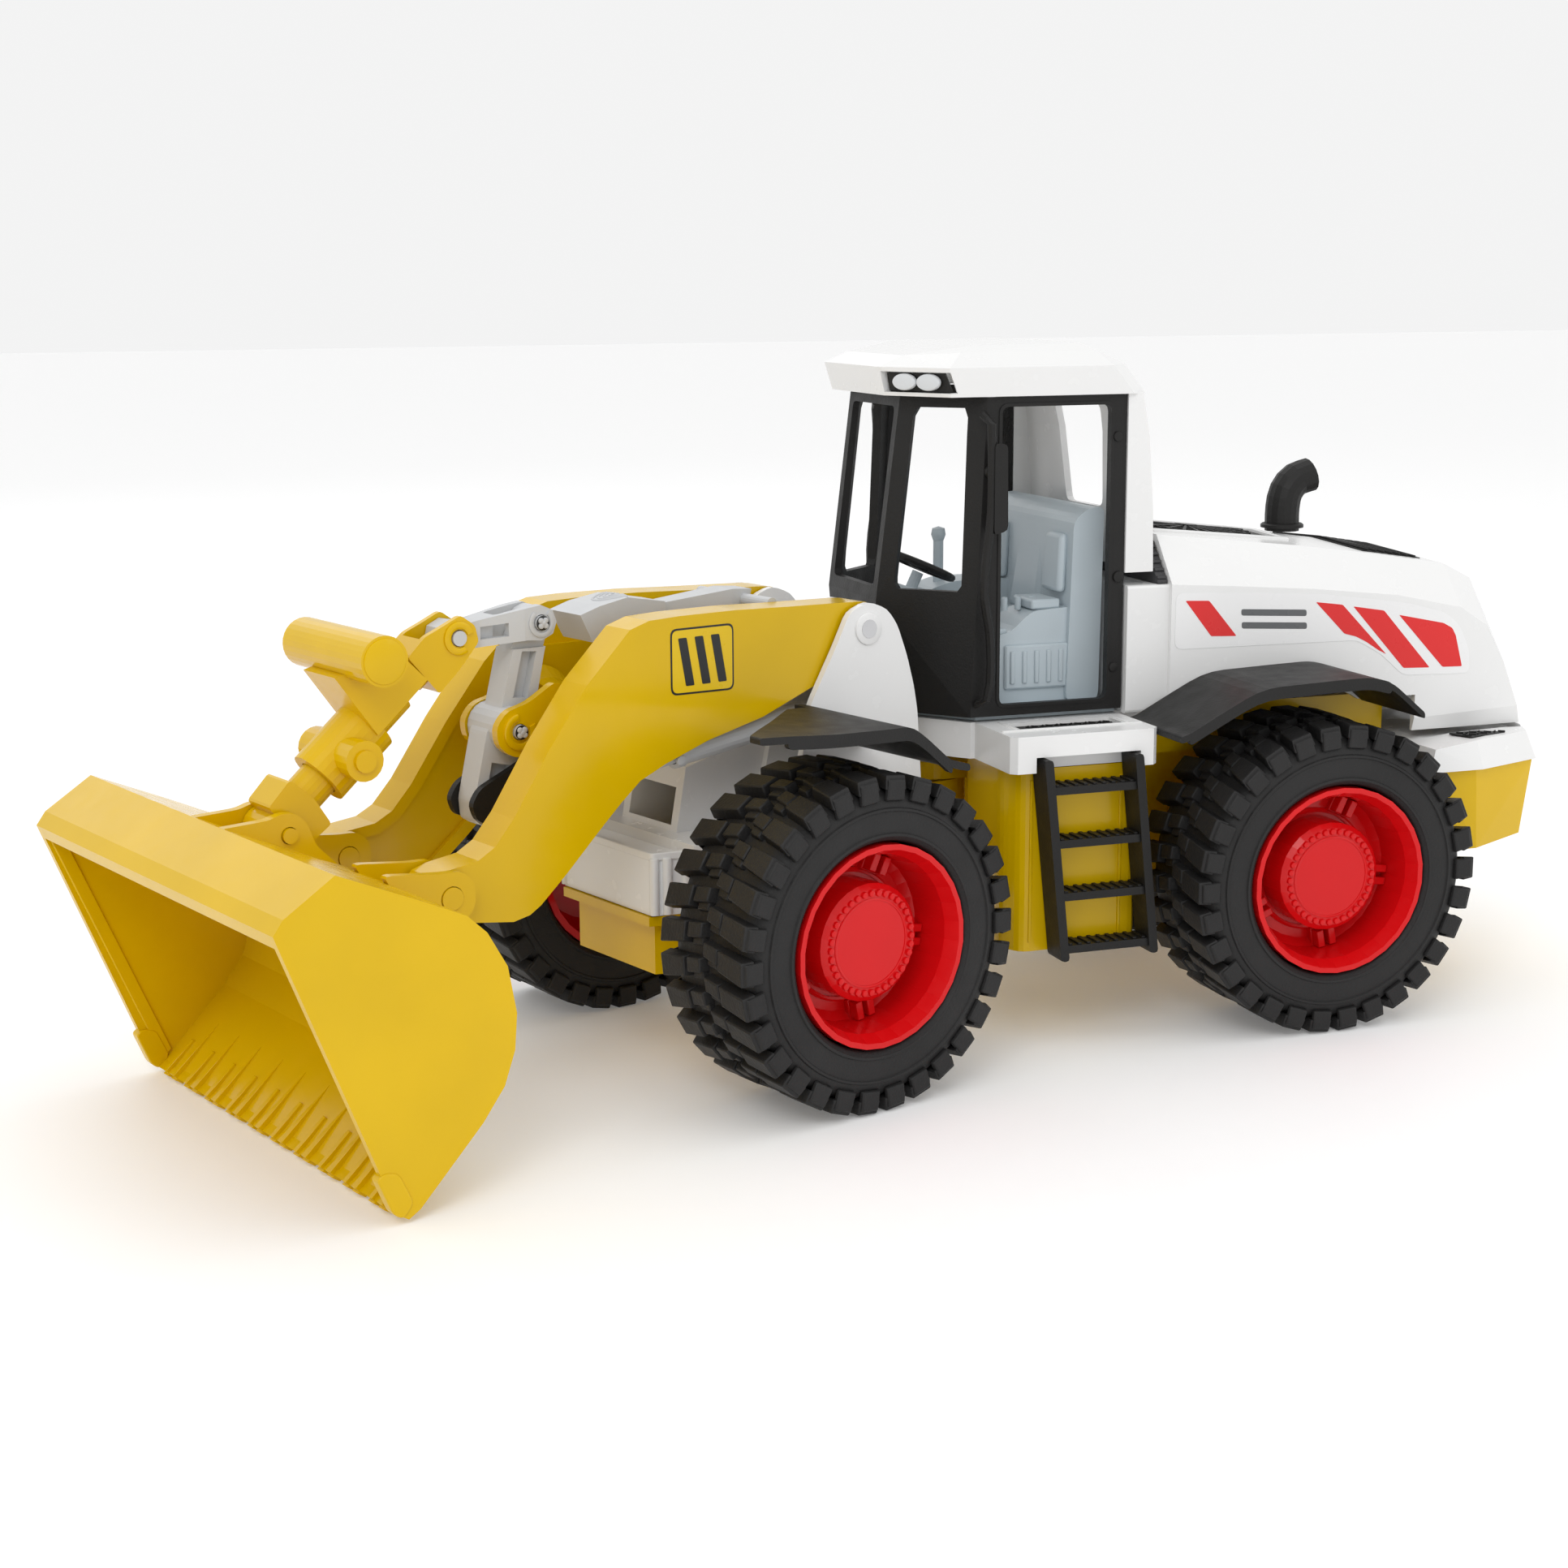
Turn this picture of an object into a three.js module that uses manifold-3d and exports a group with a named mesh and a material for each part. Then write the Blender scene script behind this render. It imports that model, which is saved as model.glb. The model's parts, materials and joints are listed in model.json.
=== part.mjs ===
// Toy wheel loader with centre-pivot steering, as one assembly of separate moulded pieces.
// Millimetres. +X runs towards the bucket, +Y to the driver's left and +Z up.
// Both half frames are drawn with the steering pivot at x = 0, y = 0 and the floor at z = 0;
// the front half is then turned about that pivot, and the whole model is centred on its box.
import * as THREE from "three";
import { ConvexGeometry } from "three/addons/geometries/ConvexGeometry.js";
import { mergeVertices } from "three/addons/utils/BufferGeometryUtils.js";
import Module from "manifold-3d";

const wasm = await Module();
wasm.setup();

// ---- driving dimensions ------------------------------------------------------------------
const STEER_ANGLE = THREE.MathUtils.degToRad(17.58); // front half turned to the left
const GAP = 0.3; // between pieces that touch
const RUNNING = 0.25; // radial play of a pin in its hole

const TYRE_R = 52;
const TYRE_W = 44;
const TYRE_BORE = 31.6;
const TYRE_LUGS = 30;
const AXLE_Z = 51.9;
const FRONT_AXLE_X = 93.5;
const REAR_AXLE_X = -109.2;
const WHEEL_Y = 70; // middle of the tyre
const AXLE_R = 3;

const BOOM_PIVOT = [55, 138];
const LEVER_PIVOT = [81, 146.4];
const BUCKET_PIVOT = [211, 75.3];
const ROCKER_PIVOT = [169.2, 114.2];
const LINK_REAR = [158.2, 145.8];
const LINK_FRONT = [186.7, 143.7];
const TILT_PIVOT = [245.6, 93];
const GRIP_BAR = [220.6, 142.2];
const LIFT_PIVOT = [60, 113];
const LIFT_END = [146, 102];
const LIFT_Y = 25.2; // at the boom pin
const PIN_R = 2.3;
const BOOM_PIN_R = 3;
const BUCKET_PIN_R = 3.4;
const OPEN_PLAY = 0.6; // play of the link's front pin, which is free in the link

const ARM_INNER_Y = 18.8; // at the boom pin
const ARM_OUTER_Y = 31.8;
const ARM_TOE = 0.043; // sideways spread per unit forward
const OUTER_EAR = [39.2, 42.2];
const INNER_EAR = [21.6, 24.4];
const TILT_EAR = [8, 11.2];
const TOOTH_PAIRS = 10;
const TOOTH_PITCH = 15.4;
const WALL = 2.4; // moulded wall of the hollow pieces
const BUCKET_HALF = 82.5;
const CAB_HALF = 46;
const HOOD_HALF = 50;

// ---- finishes ----------------------------------------------------------------------------
const YELLOW = { color: 0xe2b900, roughness: 0.28, metalness: 0 };
const WHITE = { color: 0xf1f1ee, roughness: 0.28, metalness: 0 };
const GREY = { color: 0xc6c8ca, roughness: 0.4, metalness: 0 };
const BLACK = { color: 0x2a2a2a, roughness: 0.6, metalness: 0 };
const RUBBER = { color: 0x2c2c2d, roughness: 0.85, metalness: 0 };
const RED = { color: 0xd5161c, roughness: 0.25, metalness: 0 };
const CABIN = { color: 0xc2ccd2, roughness: 0.4, metalness: 0 };
const STEEL = { color: 0xb4b6b9, roughness: 0.3, metalness: 1 };

// ---- joining and cutting -----------------------------------------------------------------
// A closed geometry as a solid, turned outward if its faces point in.
function solid(shape) {
  if (!shape.isBufferGeometry) return shape;
  const bare = shape.clone();
  bare.deleteAttribute("normal");
  bare.deleteAttribute("uv");
  const merged = mergeVertices(bare, 1e-4);
  const index = merged.index.array;
  const triangles = [];
  for (let i = 0; i < index.length; i += 3) {
    const [a, b, c] = [index[i], index[i + 1], index[i + 2]];
    if (a !== b && b !== c && c !== a) triangles.push(a, b, c);
  }
  const vertProperties = merged.attributes.position.array;
  const make = (triVerts) => new wasm.Manifold(new wasm.Mesh({ numProp: 3, vertProperties, triVerts }));
  const made = make(new Uint32Array(triangles));
  if (made.volume() > 0) return made;
  for (let i = 0; i < triangles.length; i += 3) {
    [triangles[i + 1], triangles[i + 2]] = [triangles[i + 2], triangles[i + 1]];
  }
  return make(new Uint32Array(triangles));
}

const join = (...shapes) => shapes.map(solid).reduce((sum, next) => sum.add(next));
const cut = (base, ...tools) => tools.map(solid).reduce((left, tool) => left.subtract(tool), solid(base));
const common = (...shapes) => shapes.map(solid).reduce((left, next) => left.intersect(next));

function geometryOf(body) {
  if (body.isBufferGeometry) return geometryOf(solid(body));
  const mesh = body.asOriginal().simplify(1e-3).getMesh();
  const points = new Float32Array(mesh.numVert * 3);
  for (let i = 0; i < mesh.numVert; i++) {
    points.set(mesh.vertProperties.subarray(i * mesh.numProp, i * mesh.numProp + 3), i * 3);
  }
  const geometry = new THREE.BufferGeometry();
  geometry.setAttribute("position", new THREE.BufferAttribute(points, 3));
  geometry.setIndex(new THREE.BufferAttribute(new Uint32Array(mesh.triVerts), 1));
  geometry.computeVertexNormals();
  return geometry;
}

// ---- shapes ------------------------------------------------------------------------------
// A closed outline; corners are rounded to radius r where the sides are long enough.
function outline(points, r = 0, steps = 3) {
  const shape = new THREE.Shape();
  points.forEach(([x, y], i) => {
    const here = new THREE.Vector2(x, y);
    const before = new THREE.Vector2(...points.at(i - 1));
    const after = new THREE.Vector2(...points[(i + 1) % points.length]);
    const reach = Math.min(r, here.distanceTo(before) * 0.45, here.distanceTo(after) * 0.45);
    const start = here.clone().lerp(before, reach / here.distanceTo(before));
    const end = here.clone().lerp(after, reach / here.distanceTo(after));
    if (i === 0) shape.moveTo(start.x, start.y);
    else shape.lineTo(start.x, start.y);
    if (reach > 0) shape.quadraticCurveTo(x, y, end.x, end.y);
  });
  shape.closePath();
  shape.steps = steps;
  return shape;
}

const shapeOf = (points, r, steps) => (Array.isArray(points) ? outline(points, r, steps) : points);

function extruded(points, depth, r, steps = 3) {
  return new THREE.ExtrudeGeometry(shapeOf(points, r, steps), {
    depth,
    bevelEnabled: false,
    curveSegments: steps,
  });
}

// Side view outline [x, z] carried from y0 to y1.
function side(points, y0, y1, r = 0, steps = 3) {
  return extruded(points, y1 - y0, r, steps).rotateX(Math.PI / 2).translate(0, y1, 0);
}

// Plan outline [x, y] carried from z0 to z1.
function plan(points, z0, z1, r = 0, steps = 3) {
  return extruded(points, z1 - z0, r, steps).translate(0, 0, z0);
}

// Front view outline [y, z] carried from x0 to x1.
function section(points, x0, x1, r = 0, steps = 3) {
  const turn = new THREE.Matrix4().set(0, 0, 1, 0, 1, 0, 0, 0, 0, 1, 0, 0, 0, 0, 0, 1);
  return extruded(points, x1 - x0, r, steps).applyMatrix4(turn).translate(x0, 0, 0);
}

function box(x0, x1, y0, y1, z0, z1) {
  return new THREE.BoxGeometry(x1 - x0, y1 - y0, z1 - z0).translate(
    (x0 + x1) / 2, (y0 + y1) / 2, (z0 + z1) / 2);
}

const hull = (points) => new ConvexGeometry(points.map((p) => new THREE.Vector3(...p)));

// The hull of points given for y >= 0 and repeated at -y.
const mirrorHull = (points) => hull([...points, ...points.map(([x, y, z]) => [x, -y, z])]);

// A round bar between two points.
function bar(from, to, r, sides = 16) {
  const a = new THREE.Vector3(...from);
  const b = new THREE.Vector3(...to);
  const along = b.clone().sub(a);
  const up = new THREE.Vector3(0, 1, 0);
  const turn = new THREE.Quaternion().setFromUnitVectors(up, along.clone().normalize());
  return new THREE.CylinderGeometry(r, r, along.length(), sides)
    .applyQuaternion(turn)
    .translate(...a.add(b).multiplyScalar(0.5).toArray());
}

// A round bar across the machine at [x, z], from y0 to y1.
const across = ([x, z], y0, y1, r, sides = 16) => bar([x, y0, z], [x, y1, z], r, sides);

// A profile [radius, y] turned about the Y axis, closed on itself.
function turned(profile, sides) {
  const points = [...profile, profile[0]].map(([r, y]) => new THREE.Vector2(r, y));
  return new THREE.LatheGeometry(points, sides);
}

// A round tube carried along a smooth route.
function swept(route, r, steps, sides = 8) {
  const section = new THREE.Shape();
  section.absarc(0, 0, r, 0, Math.PI * 2);
  return new THREE.ExtrudeGeometry(section, {
    steps,
    curveSegments: sides / 2,
    bevelEnabled: false,
    extrudePath: new THREE.CatmullRomCurve3(route.map((p) => new THREE.Vector3(...p)), false, "centripetal"),
  });
}

// The closed outline moved inwards by d.
function inset(points, d) {
  const area = points.reduce((sum, [x, y], i) => {
    const [nx, ny] = points[(i + 1) % points.length];
    return sum + x * ny - nx * y;
  }, 0);
  const turn = Math.sign(area);
  return points.map(([x, y], i) => {
    const before = new THREE.Vector2(x, y).sub(new THREE.Vector2(...points.at(i - 1))).normalize();
    const next = points[(i + 1) % points.length];
    const after = new THREE.Vector2(...next).sub(new THREE.Vector2(x, y)).normalize();
    const n1 = new THREE.Vector2(-before.y, before.x).multiplyScalar(turn);
    const n2 = new THREE.Vector2(-after.y, after.x).multiplyScalar(turn);
    const miter = n1.clone().add(n2);
    const scale = (2 * d) / miter.lengthSq();
    return [x + miter.x * scale, y + miter.y * scale];
  });
}

// The same shape on both sides of the machine.
const mirrored = (shape) => {
  const other = geometryOf(solid(shape)).scale(1, -1, 1);
  return join(shape, other);
};

// ---- scene graph -------------------------------------------------------------------------
const machine = new THREE.Group();
const rearHalf = new THREE.Group();
const frontHalf = new THREE.Group();
frontHalf.rotation.z = STEER_ANGLE;
machine.add(rearHalf, frontHalf);

function put(half, name, shape, finish, mirror = false) {
  const mesh = new THREE.Mesh(geometryOf(shape), new THREE.MeshStandardMaterial(finish));
  mesh.name = name;
  if (mirror) mesh.scale.y = -1;
  half.add(mesh);
  return mesh;
}

function putPair(half, name, shape, finish) {
  put(half, name + "_left", shape, finish);
  put(half, name + "_right", shape, finish, true);
}

// ---- wheels ------------------------------------------------------------------------------
const LUG_ROOT_R = 48.4;
const SHOULDER = 5; // how far the tyre narrows in at each side
const SHOULDER_DROP = 1.5;

function tyre() {
  const tread = [];
  const pitch = (Math.PI * 2) / TYRE_LUGS;
  const corners = [[LUG_ROOT_R, -0.38], [TYRE_R, -0.31], [TYRE_R, 0.31], [LUG_ROOT_R, 0.38]];
  for (let lug = 0; lug < TYRE_LUGS; lug++) {
    for (const [r, turn] of corners) {
      const angle = -Math.PI / 2 + (lug + turn) * pitch;
      tread.push([r * Math.cos(angle), r * Math.sin(angle)]);
    }
  }
  const shape = outline(tread);
  const bore = new THREE.Path();
  bore.absarc(0, 0, TYRE_BORE, 0, Math.PI * 2, true);
  shape.holes.push(bore);
  const ring = new THREE.ExtrudeGeometry(shape, {
    depth: TYRE_W - 2 * SHOULDER,
    curveSegments: TYRE_LUGS / 2,
    bevelThickness: SHOULDER,
    bevelSize: SHOULDER_DROP,
    bevelOffset: -SHOULDER_DROP,
    bevelSegments: 1,
  });
  return ring.translate(0, 0, SHOULDER - TYRE_W / 2).rotateX(Math.PI / 2);
}

// Rim and cap are turned about the axle; y runs outwards from the middle of the tyre.
const RIM_R = TYRE_BORE - GAP;
const RIM_FLOOR_Y = 2;
const CAP_R = 18.2;
const CAP_FACE_Y = 15.5;
const HUB_BORE = AXLE_R + RUNNING;
const RIM_PROFILE = [
  [RIM_R, -19], [RIM_R, 21.6], [29.6, 21.6], [27.6, 17], [26.6, RIM_FLOOR_Y + 2], [24, RIM_FLOOR_Y],
  [HUB_BORE, RIM_FLOOR_Y], [HUB_BORE, -10], [8, -10], [9, -2], [24, -2], [27.8, -6], [29, -19],
];
const CAP_PROFILE = [
  [0.01, CAP_FACE_Y - 2], [0.01, CAP_FACE_Y], [16.6, CAP_FACE_Y], [CAP_R, CAP_FACE_Y - 1.4],
  [CAP_R, RIM_FLOOR_Y + GAP], [16, RIM_FLOOR_Y + GAP], [16, CAP_FACE_Y - 2],
];

function hubCap() {
  const points = CAP_PROFILE.map(([r, y]) => new THREE.Vector2(r < 1 ? 0 : r, y));
  points.push(points.shift());
  return new THREE.LatheGeometry(points, 28);
}

function putWheels(half, end, axleX) {
  for (const [where, turn] of [["left", 1], ["right", -1]]) {
    const hub = new THREE.Group();
    hub.position.set(axleX, turn * WHEEL_Y, AXLE_Z);
    hub.scale.y = turn;
    half.add(hub);
    put(hub, `tyre_${end}_${where}`, tyre(), RUBBER);
    put(hub, `rim_${end}_${where}`, turned(RIM_PROFILE, 30), RED);
    put(hub, `hub_cap_${end}_${where}`, hubCap(), RED);
  }
  const reach = WHEEL_Y + RIM_FLOOR_Y + 6;
  put(half, `${end}_axle`, across([axleX, AXLE_Z], -reach, reach, AXLE_R), STEEL);
}

putWheels(rearHalf, "rear", REAR_AXLE_X);
putWheels(frontHalf, "front", FRONT_AXLE_X);

// A hole for an axle through a chassis.
const axleHole = (x) => across([x, AXLE_Z], -60, 60, AXLE_R + RUNNING);

// ---- steering joint ----------------------------------------------------------------------
const STEER_PIN_R = 4;
const LUG_R = 13;
const UPPER_LUG = [79, 85];
const LOWER_LUG = [39, 45];
const MIDDLE_LUG = [45.5, 78.5];

// A lug with a round end about the steering pin, reaching to x1.
function steeringLug(x1, z0, z1) {
  return join(
    bar([0, 0, z0], [0, 0, z1], LUG_R, 28),
    box(Math.min(0, x1), Math.max(0, x1), -LUG_R, LUG_R, z0, z1),
  );
}

const pinHole = bar([0, 0, 20], [0, 0, 100], STEER_PIN_R + RUNNING, 20);
put(rearHalf, "steering_pin", join(
  bar([0, 0, 36.5], [0, 0, 88], STEER_PIN_R, 20),
  bar([0, 0, UPPER_LUG[1] + GAP], [0, 0, 89], 6.5, 20),
), STEEL);

// ---- rear half: chassis and counterweight ------------------------------------------------
const DECK_Z = 92; // underside of the white deck
const TANK_Y = 66;
const TANK = [[-2, 28], [-2, 58], [-6, TANK_Y], [-47.5, TANK_Y], [-47.5, 28]];

const spine = join(
  box(-156.7, -20, -30, 30, 38, DECK_Z - GAP),
  side([[-156.7, DECK_Z - 4], [-64, DECK_Z - 4], [-64, 103.7], [-156.7, 103.7]], -38, 38),
  plan(TANK, 31, DECK_Z - GAP, 3),
  plan(TANK.map(([x, y]) => [x, -y]), 31, DECK_Z - GAP, 3),
  box(-60, -20, -40, 40, 44, DECK_Z - GAP),
  steeringLug(-24, ...UPPER_LUG),
  steeringLug(-24, ...LOWER_LUG),
);
// The round opening leaves room for the front half's middle lug.
put(rearHalf, "rear_chassis", cut(
  spine,
  bar([0, 0, LOWER_LUG[1] + 0.01], [0, 0, UPPER_LUG[0] - 0.01], LUG_R + 2, 28),
  pinHole,
  axleHole(REAR_AXLE_X),
  box(-156, -62, 30.5, 60, 20, 87),
  box(-156, -62, -60, -30.5, 20, 87),
), YELLOW);

const WEIGHT_TOP = 80;
put(rearHalf, "counterweight", mirrorHull([
  [-157, 34, WEIGHT_TOP], [-162, 47, WEIGHT_TOP], [-163, 66, WEIGHT_TOP], [-177, 66.5, WEIGHT_TOP],
  [-206, 57.5, WEIGHT_TOP],
  [-212, 42, WEIGHT_TOP], [-157, 34, 50], [-162, 47, 50], [-163, 60, 50], [-181, 63, 51],
  [-204, 55, 53], [-207, 42, 56],
]), YELLOW);

const coverOuter = mirrorHull([
  [-157, 69, WEIGHT_TOP + GAP], [-178, 69, WEIGHT_TOP + GAP], [-207, 58.5, WEIGHT_TOP + GAP],
  [-213.5, 42, WEIGHT_TOP + GAP],
  [-160, 67, 88], [-177, 66, 90], [-204, 56, 90], [-210, 41, 91],
]);
put(rearHalf, "counterweight_cover", cut(
  coverOuter,
  mirrorHull([[-160, 12, 96], [-216, 26, 96], [-160, 10, 86.5], [-216, 20, 86.5]]),
  box(-156, -207.2, -50.5, 50.5, 88.7, 95),
), WHITE);

// ---- rear half: white deck with side platforms, ladders ----------------------------------
const PLATFORM_Y = 74;
const PLATFORM_TOP = 104;
const deckPlan = [
  [23, 0], [23, 18], [3, 44], [1.5, 44], [1.5, PLATFORM_Y - 2], [-0.5, PLATFORM_Y],
  [-48.5, PLATFORM_Y], [-50.5, PLATFORM_Y - 2], [-50.5, 40], [-62, 40], [-62, 0],
];
const deckFull = [...deckPlan, ...deckPlan.slice(1, -1).reverse().map(([x, y]) => [x, -y])];
const treadPocket = plan([[-7, 50], [-7, 62], [-44, 62], [-44, 50]], PLATFORM_TOP - 1.6, PLATFORM_TOP + 2, 1);
const ladderRoom = box(-44, -7, 66.3, 90, 80, 97);
put(rearHalf, "cab_deck", cut(
  plan(deckFull, DECK_Z, PLATFORM_TOP),
  treadPocket,
  geometryOf(treadPocket).scale(1, -1, 1),
  ladderRoom,
  geometryOf(ladderRoom).scale(1, -1, 1),
  plan([[6, 0], [6, 13], [-8, 26], [-20, 26], [-20, -26], [-8, -26], [6, -13]], DECK_Z - 1, 100),
), WHITE);

const LADDER_TOP = 96.5;
const LADDER_FOOT = 29.5;
const RUNG_COUNT = 4;
const LADDER_FRONT_TOP = -8.5;
const LADDER_SPAN = 33;
const LADDER_RAKE = -7; // how far the foot stands behind the top
const RAIL = 3;

function ladder() {
  const rail = (x) => side([
    [x, LADDER_TOP], [x - RAIL, LADDER_TOP], [x - RAIL + LADDER_RAKE, LADDER_FOOT],
    [x + LADDER_RAKE, LADDER_FOOT],
  ], TANK_Y + GAP + 0.4, 77, 1.2, 2);
  const rungs = [];
  for (let i = 0; i < RUNG_COUNT; i++) {
    const z = LADDER_TOP - 10.5 - i * 17.6;
    const shift = LADDER_RAKE * (LADDER_TOP - z) / (LADDER_TOP - LADDER_FOOT);
    const front = LADDER_FRONT_TOP - 1 + shift;
    rungs.push(box(front - LADDER_SPAN, front, TANK_Y + 1.2, 76, z - 1.3, z + 1.3));
  }
  return join(rail(LADDER_FRONT_TOP), rail(LADDER_FRONT_TOP - LADDER_SPAN + 1), ...rungs);
}
putPair(rearHalf, "ladder", ladder(), BLACK);

// ---- rear half: engine hood --------------------------------------------------------------
const HOOD_BASE = 104.3;
const hoodLine = [
  [-66.5, 162.5, 147], [-89, 160, 145.5], [-121, 156.6, 143], [-153, 152.3, 139.5], [-179, 148, 134],
  [-190, 142.5, 127],
  [-197.5, 128, 114], [-204, 107.5, 98],
];
const HOOD_RIDGE_Y = 38;
const HOOD_REAR_X = -206.5;
const HOOD_REAR_Z = 91.5;

// The hood's outer form; shrink moves every face inwards.
function hoodForm(shrink) {
  const points = [];
  for (const [x, ridge, shoulder] of hoodLine) {
    const back = x < -180 ? shrink : 0;
    points.push([x + back, 0, ridge + 1.8 - shrink]);
    points.push([x + back, HOOD_RIDGE_Y - shrink * 0.6, ridge - shrink]);
    points.push([x + back, HOOD_HALF - shrink, shoulder - shrink * 0.4]);
  }
  points.push([hoodLine[0][0], HOOD_HALF - shrink, HOOD_REAR_Z]);
  points.push([HOOD_REAR_X + shrink, HOOD_HALF - 2 - shrink, HOOD_REAR_Z]);
  return mirrorHull(points);
}

const ARCH_R = 60.5;
const archCut = (y0, y1) => join(
  across([REAR_AXLE_X, AXLE_Z], y0, y1, ARCH_R, 40),
  box(-162, -51.3, y0, y1, 80, HOOD_BASE),
);
const hoodFront = section([
  [-HOOD_HALF + 2, HOOD_BASE], [HOOD_HALF - 2, HOOD_BASE], [HOOD_HALF - 2, 147], [-HOOD_HALF + 2, 147],
], -67.5, -51.2, 1, 2);
const grillePocket = plan([[-71, 26], [-71, -26], [-124, -20], [-124, 20]], 150, 170);
const hood = cut(
  join(hoodForm(0), hoodFront),
  hoodForm(WALL),
  box(-203, -68, -HOOD_HALF + WALL, HOOD_HALF - WALL, 80, 100),
  section([[-45, 100], [45, 100], [45, 144], [-45, 144]], -70, -54),
  archCut(38.5, 60),
  geometryOf(archCut(38.5, 60)).scale(1, -1, 1),
  box(-162, -40, -60, 60, 80, HOOD_BASE),
  grillePocket,
);
put(rearHalf, "engine_hood", hood, WHITE);
put(rearHalf, "hood_grille", common(
  plan([[-71.3, 25.6], [-71.3, -25.6], [-123.7, -19.6], [-123.7, 19.6]], 150, 170),
  cut(hoodForm(0.4), hoodForm(2)),
), BLACK);
put(rearHalf, "air_intake", section([
  [-47.4, 147.3], [47.4, 147.3], [47.4, 148], [36, 160.5], [-36, 160.5], [-47.4, 148],
], -66.1, -62.5), BLACK);

const EXHAUST_R = 6.1;
const EXHAUST_X = -136.5;
put(rearHalf, "exhaust_pipe", cut(
  swept([
    [EXHAUST_X, 0, 157.6], [EXHAUST_X, 0, 166], [EXHAUST_X - 1.2, 0, 171.5], [EXHAUST_X - 4.6, 0, 175.4],
    [EXHAUST_X - 10.5, 0, 177.2],
  ], EXHAUST_R, 9, 16),
  bar([EXHAUST_X - 6.5, 0, 176.4], [EXHAUST_X - 14, 0, 177.9], EXHAUST_R - 1.4, 14),
), BLACK);

// ---- fenders -----------------------------------------------------------------------------
const FENDER_OUTER = 88;
const FENDER_T = 2.2;

const FENDER_BEND = 9;
const FENDER_LIP = 4;

// A bent strip with rolled corners: the top line is lowered by t for its underside.
function strip(line, y0, y1, t) {
  return side([...line, ...[...line].reverse().map(([x, z]) => [x, z - t])], y0, y1, FENDER_BEND, 3);
}

const rearFenderLine = [
  [-50.8, 103.2], [-54, 104], [-66.6, 110.6], [-80, 117.2], [-106, 118.2], [-120, 118.6], [-128, 116.4],
  [-141, 105.5],
];
putPair(rearHalf, "rear_fender", join(
  strip(rearFenderLine, HOOD_HALF + GAP, FENDER_OUTER, FENDER_T),
  strip(rearFenderLine.slice(1, -1), FENDER_OUTER - 2, FENDER_OUTER, FENDER_LIP),
), BLACK);

const frontFenderLine = [
  [136, 119.6], [126, 119], [110, 117.6], [94, 117], [80, 116.6], [75, 113.2], [64, 104], [57, 102.6],
];
putPair(frontHalf, "front_fender", common(
  join(
    strip(frontFenderLine, 36, FENDER_OUTER, FENDER_T),
    strip(frontFenderLine.slice(1, -1), FENDER_OUTER - 2, FENDER_OUTER, FENDER_LIP),
  ),
  plan([
    [140, 88], [137, 84], [103, 52], [92, 42], [84.5, 42], [84.5, 36], [50, 36], [50, 81], [56, 92], [110, 92],
  ], 80, 130),
), BLACK);

// ---- rear half: cab ----------------------------------------------------------------------
const CAB_FLOOR = 106;
const CAB_TOP = 209.5;
const SILL = 143;
const FRAME_T = 2.8;

function cabForm(shrink, z0, z1) {
  return mirrorHull([
    [26 - shrink, 19.5 - shrink * 0.45, z0], [4 - shrink * 0.7, CAB_HALF - shrink, z0],
    [-50.5 - shrink * 2, CAB_HALF - shrink, z0],
    [28 - shrink, 22.4 - shrink * 0.45, SILL], [2 - shrink * 0.7, CAB_HALF - shrink, SILL],
    [19.8 - shrink, 22.6 - shrink * 0.45, z1], [-1 - shrink * 0.7, CAB_HALF - shrink, z1],
    [-50.5 - shrink * 2, CAB_HALF - shrink, z1],
  ]);
}

// The opening in a slanted front quarter: points are [share of the way round, z].
function quarterWindow() {
  const low = [[28, 22.4], [2, CAB_HALF]];
  const at = (share, z, out) => {
    const lean = ((z - SILL) / (CAB_TOP - SILL)) * 0.9;
    const x = THREE.MathUtils.lerp(low[0][0] - lean * 8, low[1][0] - lean * 2, share);
    const y = THREE.MathUtils.lerp(low[0][1], low[1][1], share);
    return [x + out * 0.67, y + out * 0.74, z];
  };
  const points = [];
  const corners = [
    [0.17, 149], [0.21, 147], [0.8, 147], [0.84, 149], [0.82, 203], [0.78, 206], [0.25, 206], [0.2, 203],
  ];
  for (const [share, z] of corners) {
    points.push(at(share, z, -8), at(share, z, 8));
  }
  return hull(points);
}

const DOOR = [[-6, 109.6], [-6, 206.5], [-45, 206.5], [-45, 109.6]];
const quarterGlass = quarterWindow();
put(rearHalf, "cab_frame", cut(
  cabForm(0, CAB_FLOOR, CAB_TOP),
  cabForm(FRAME_T, CAB_FLOOR - 5, CAB_TOP + 5),
  section([[-18.6, 147], [18.6, 147], [19, 206], [-19, 206]], 6, 40, 2, 2),
  quarterGlass,
  geometryOf(quarterGlass).scale(1, -1, 1),
  side(DOOR, -60, 60, 2.5, 3),
), BLACK);

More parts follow.
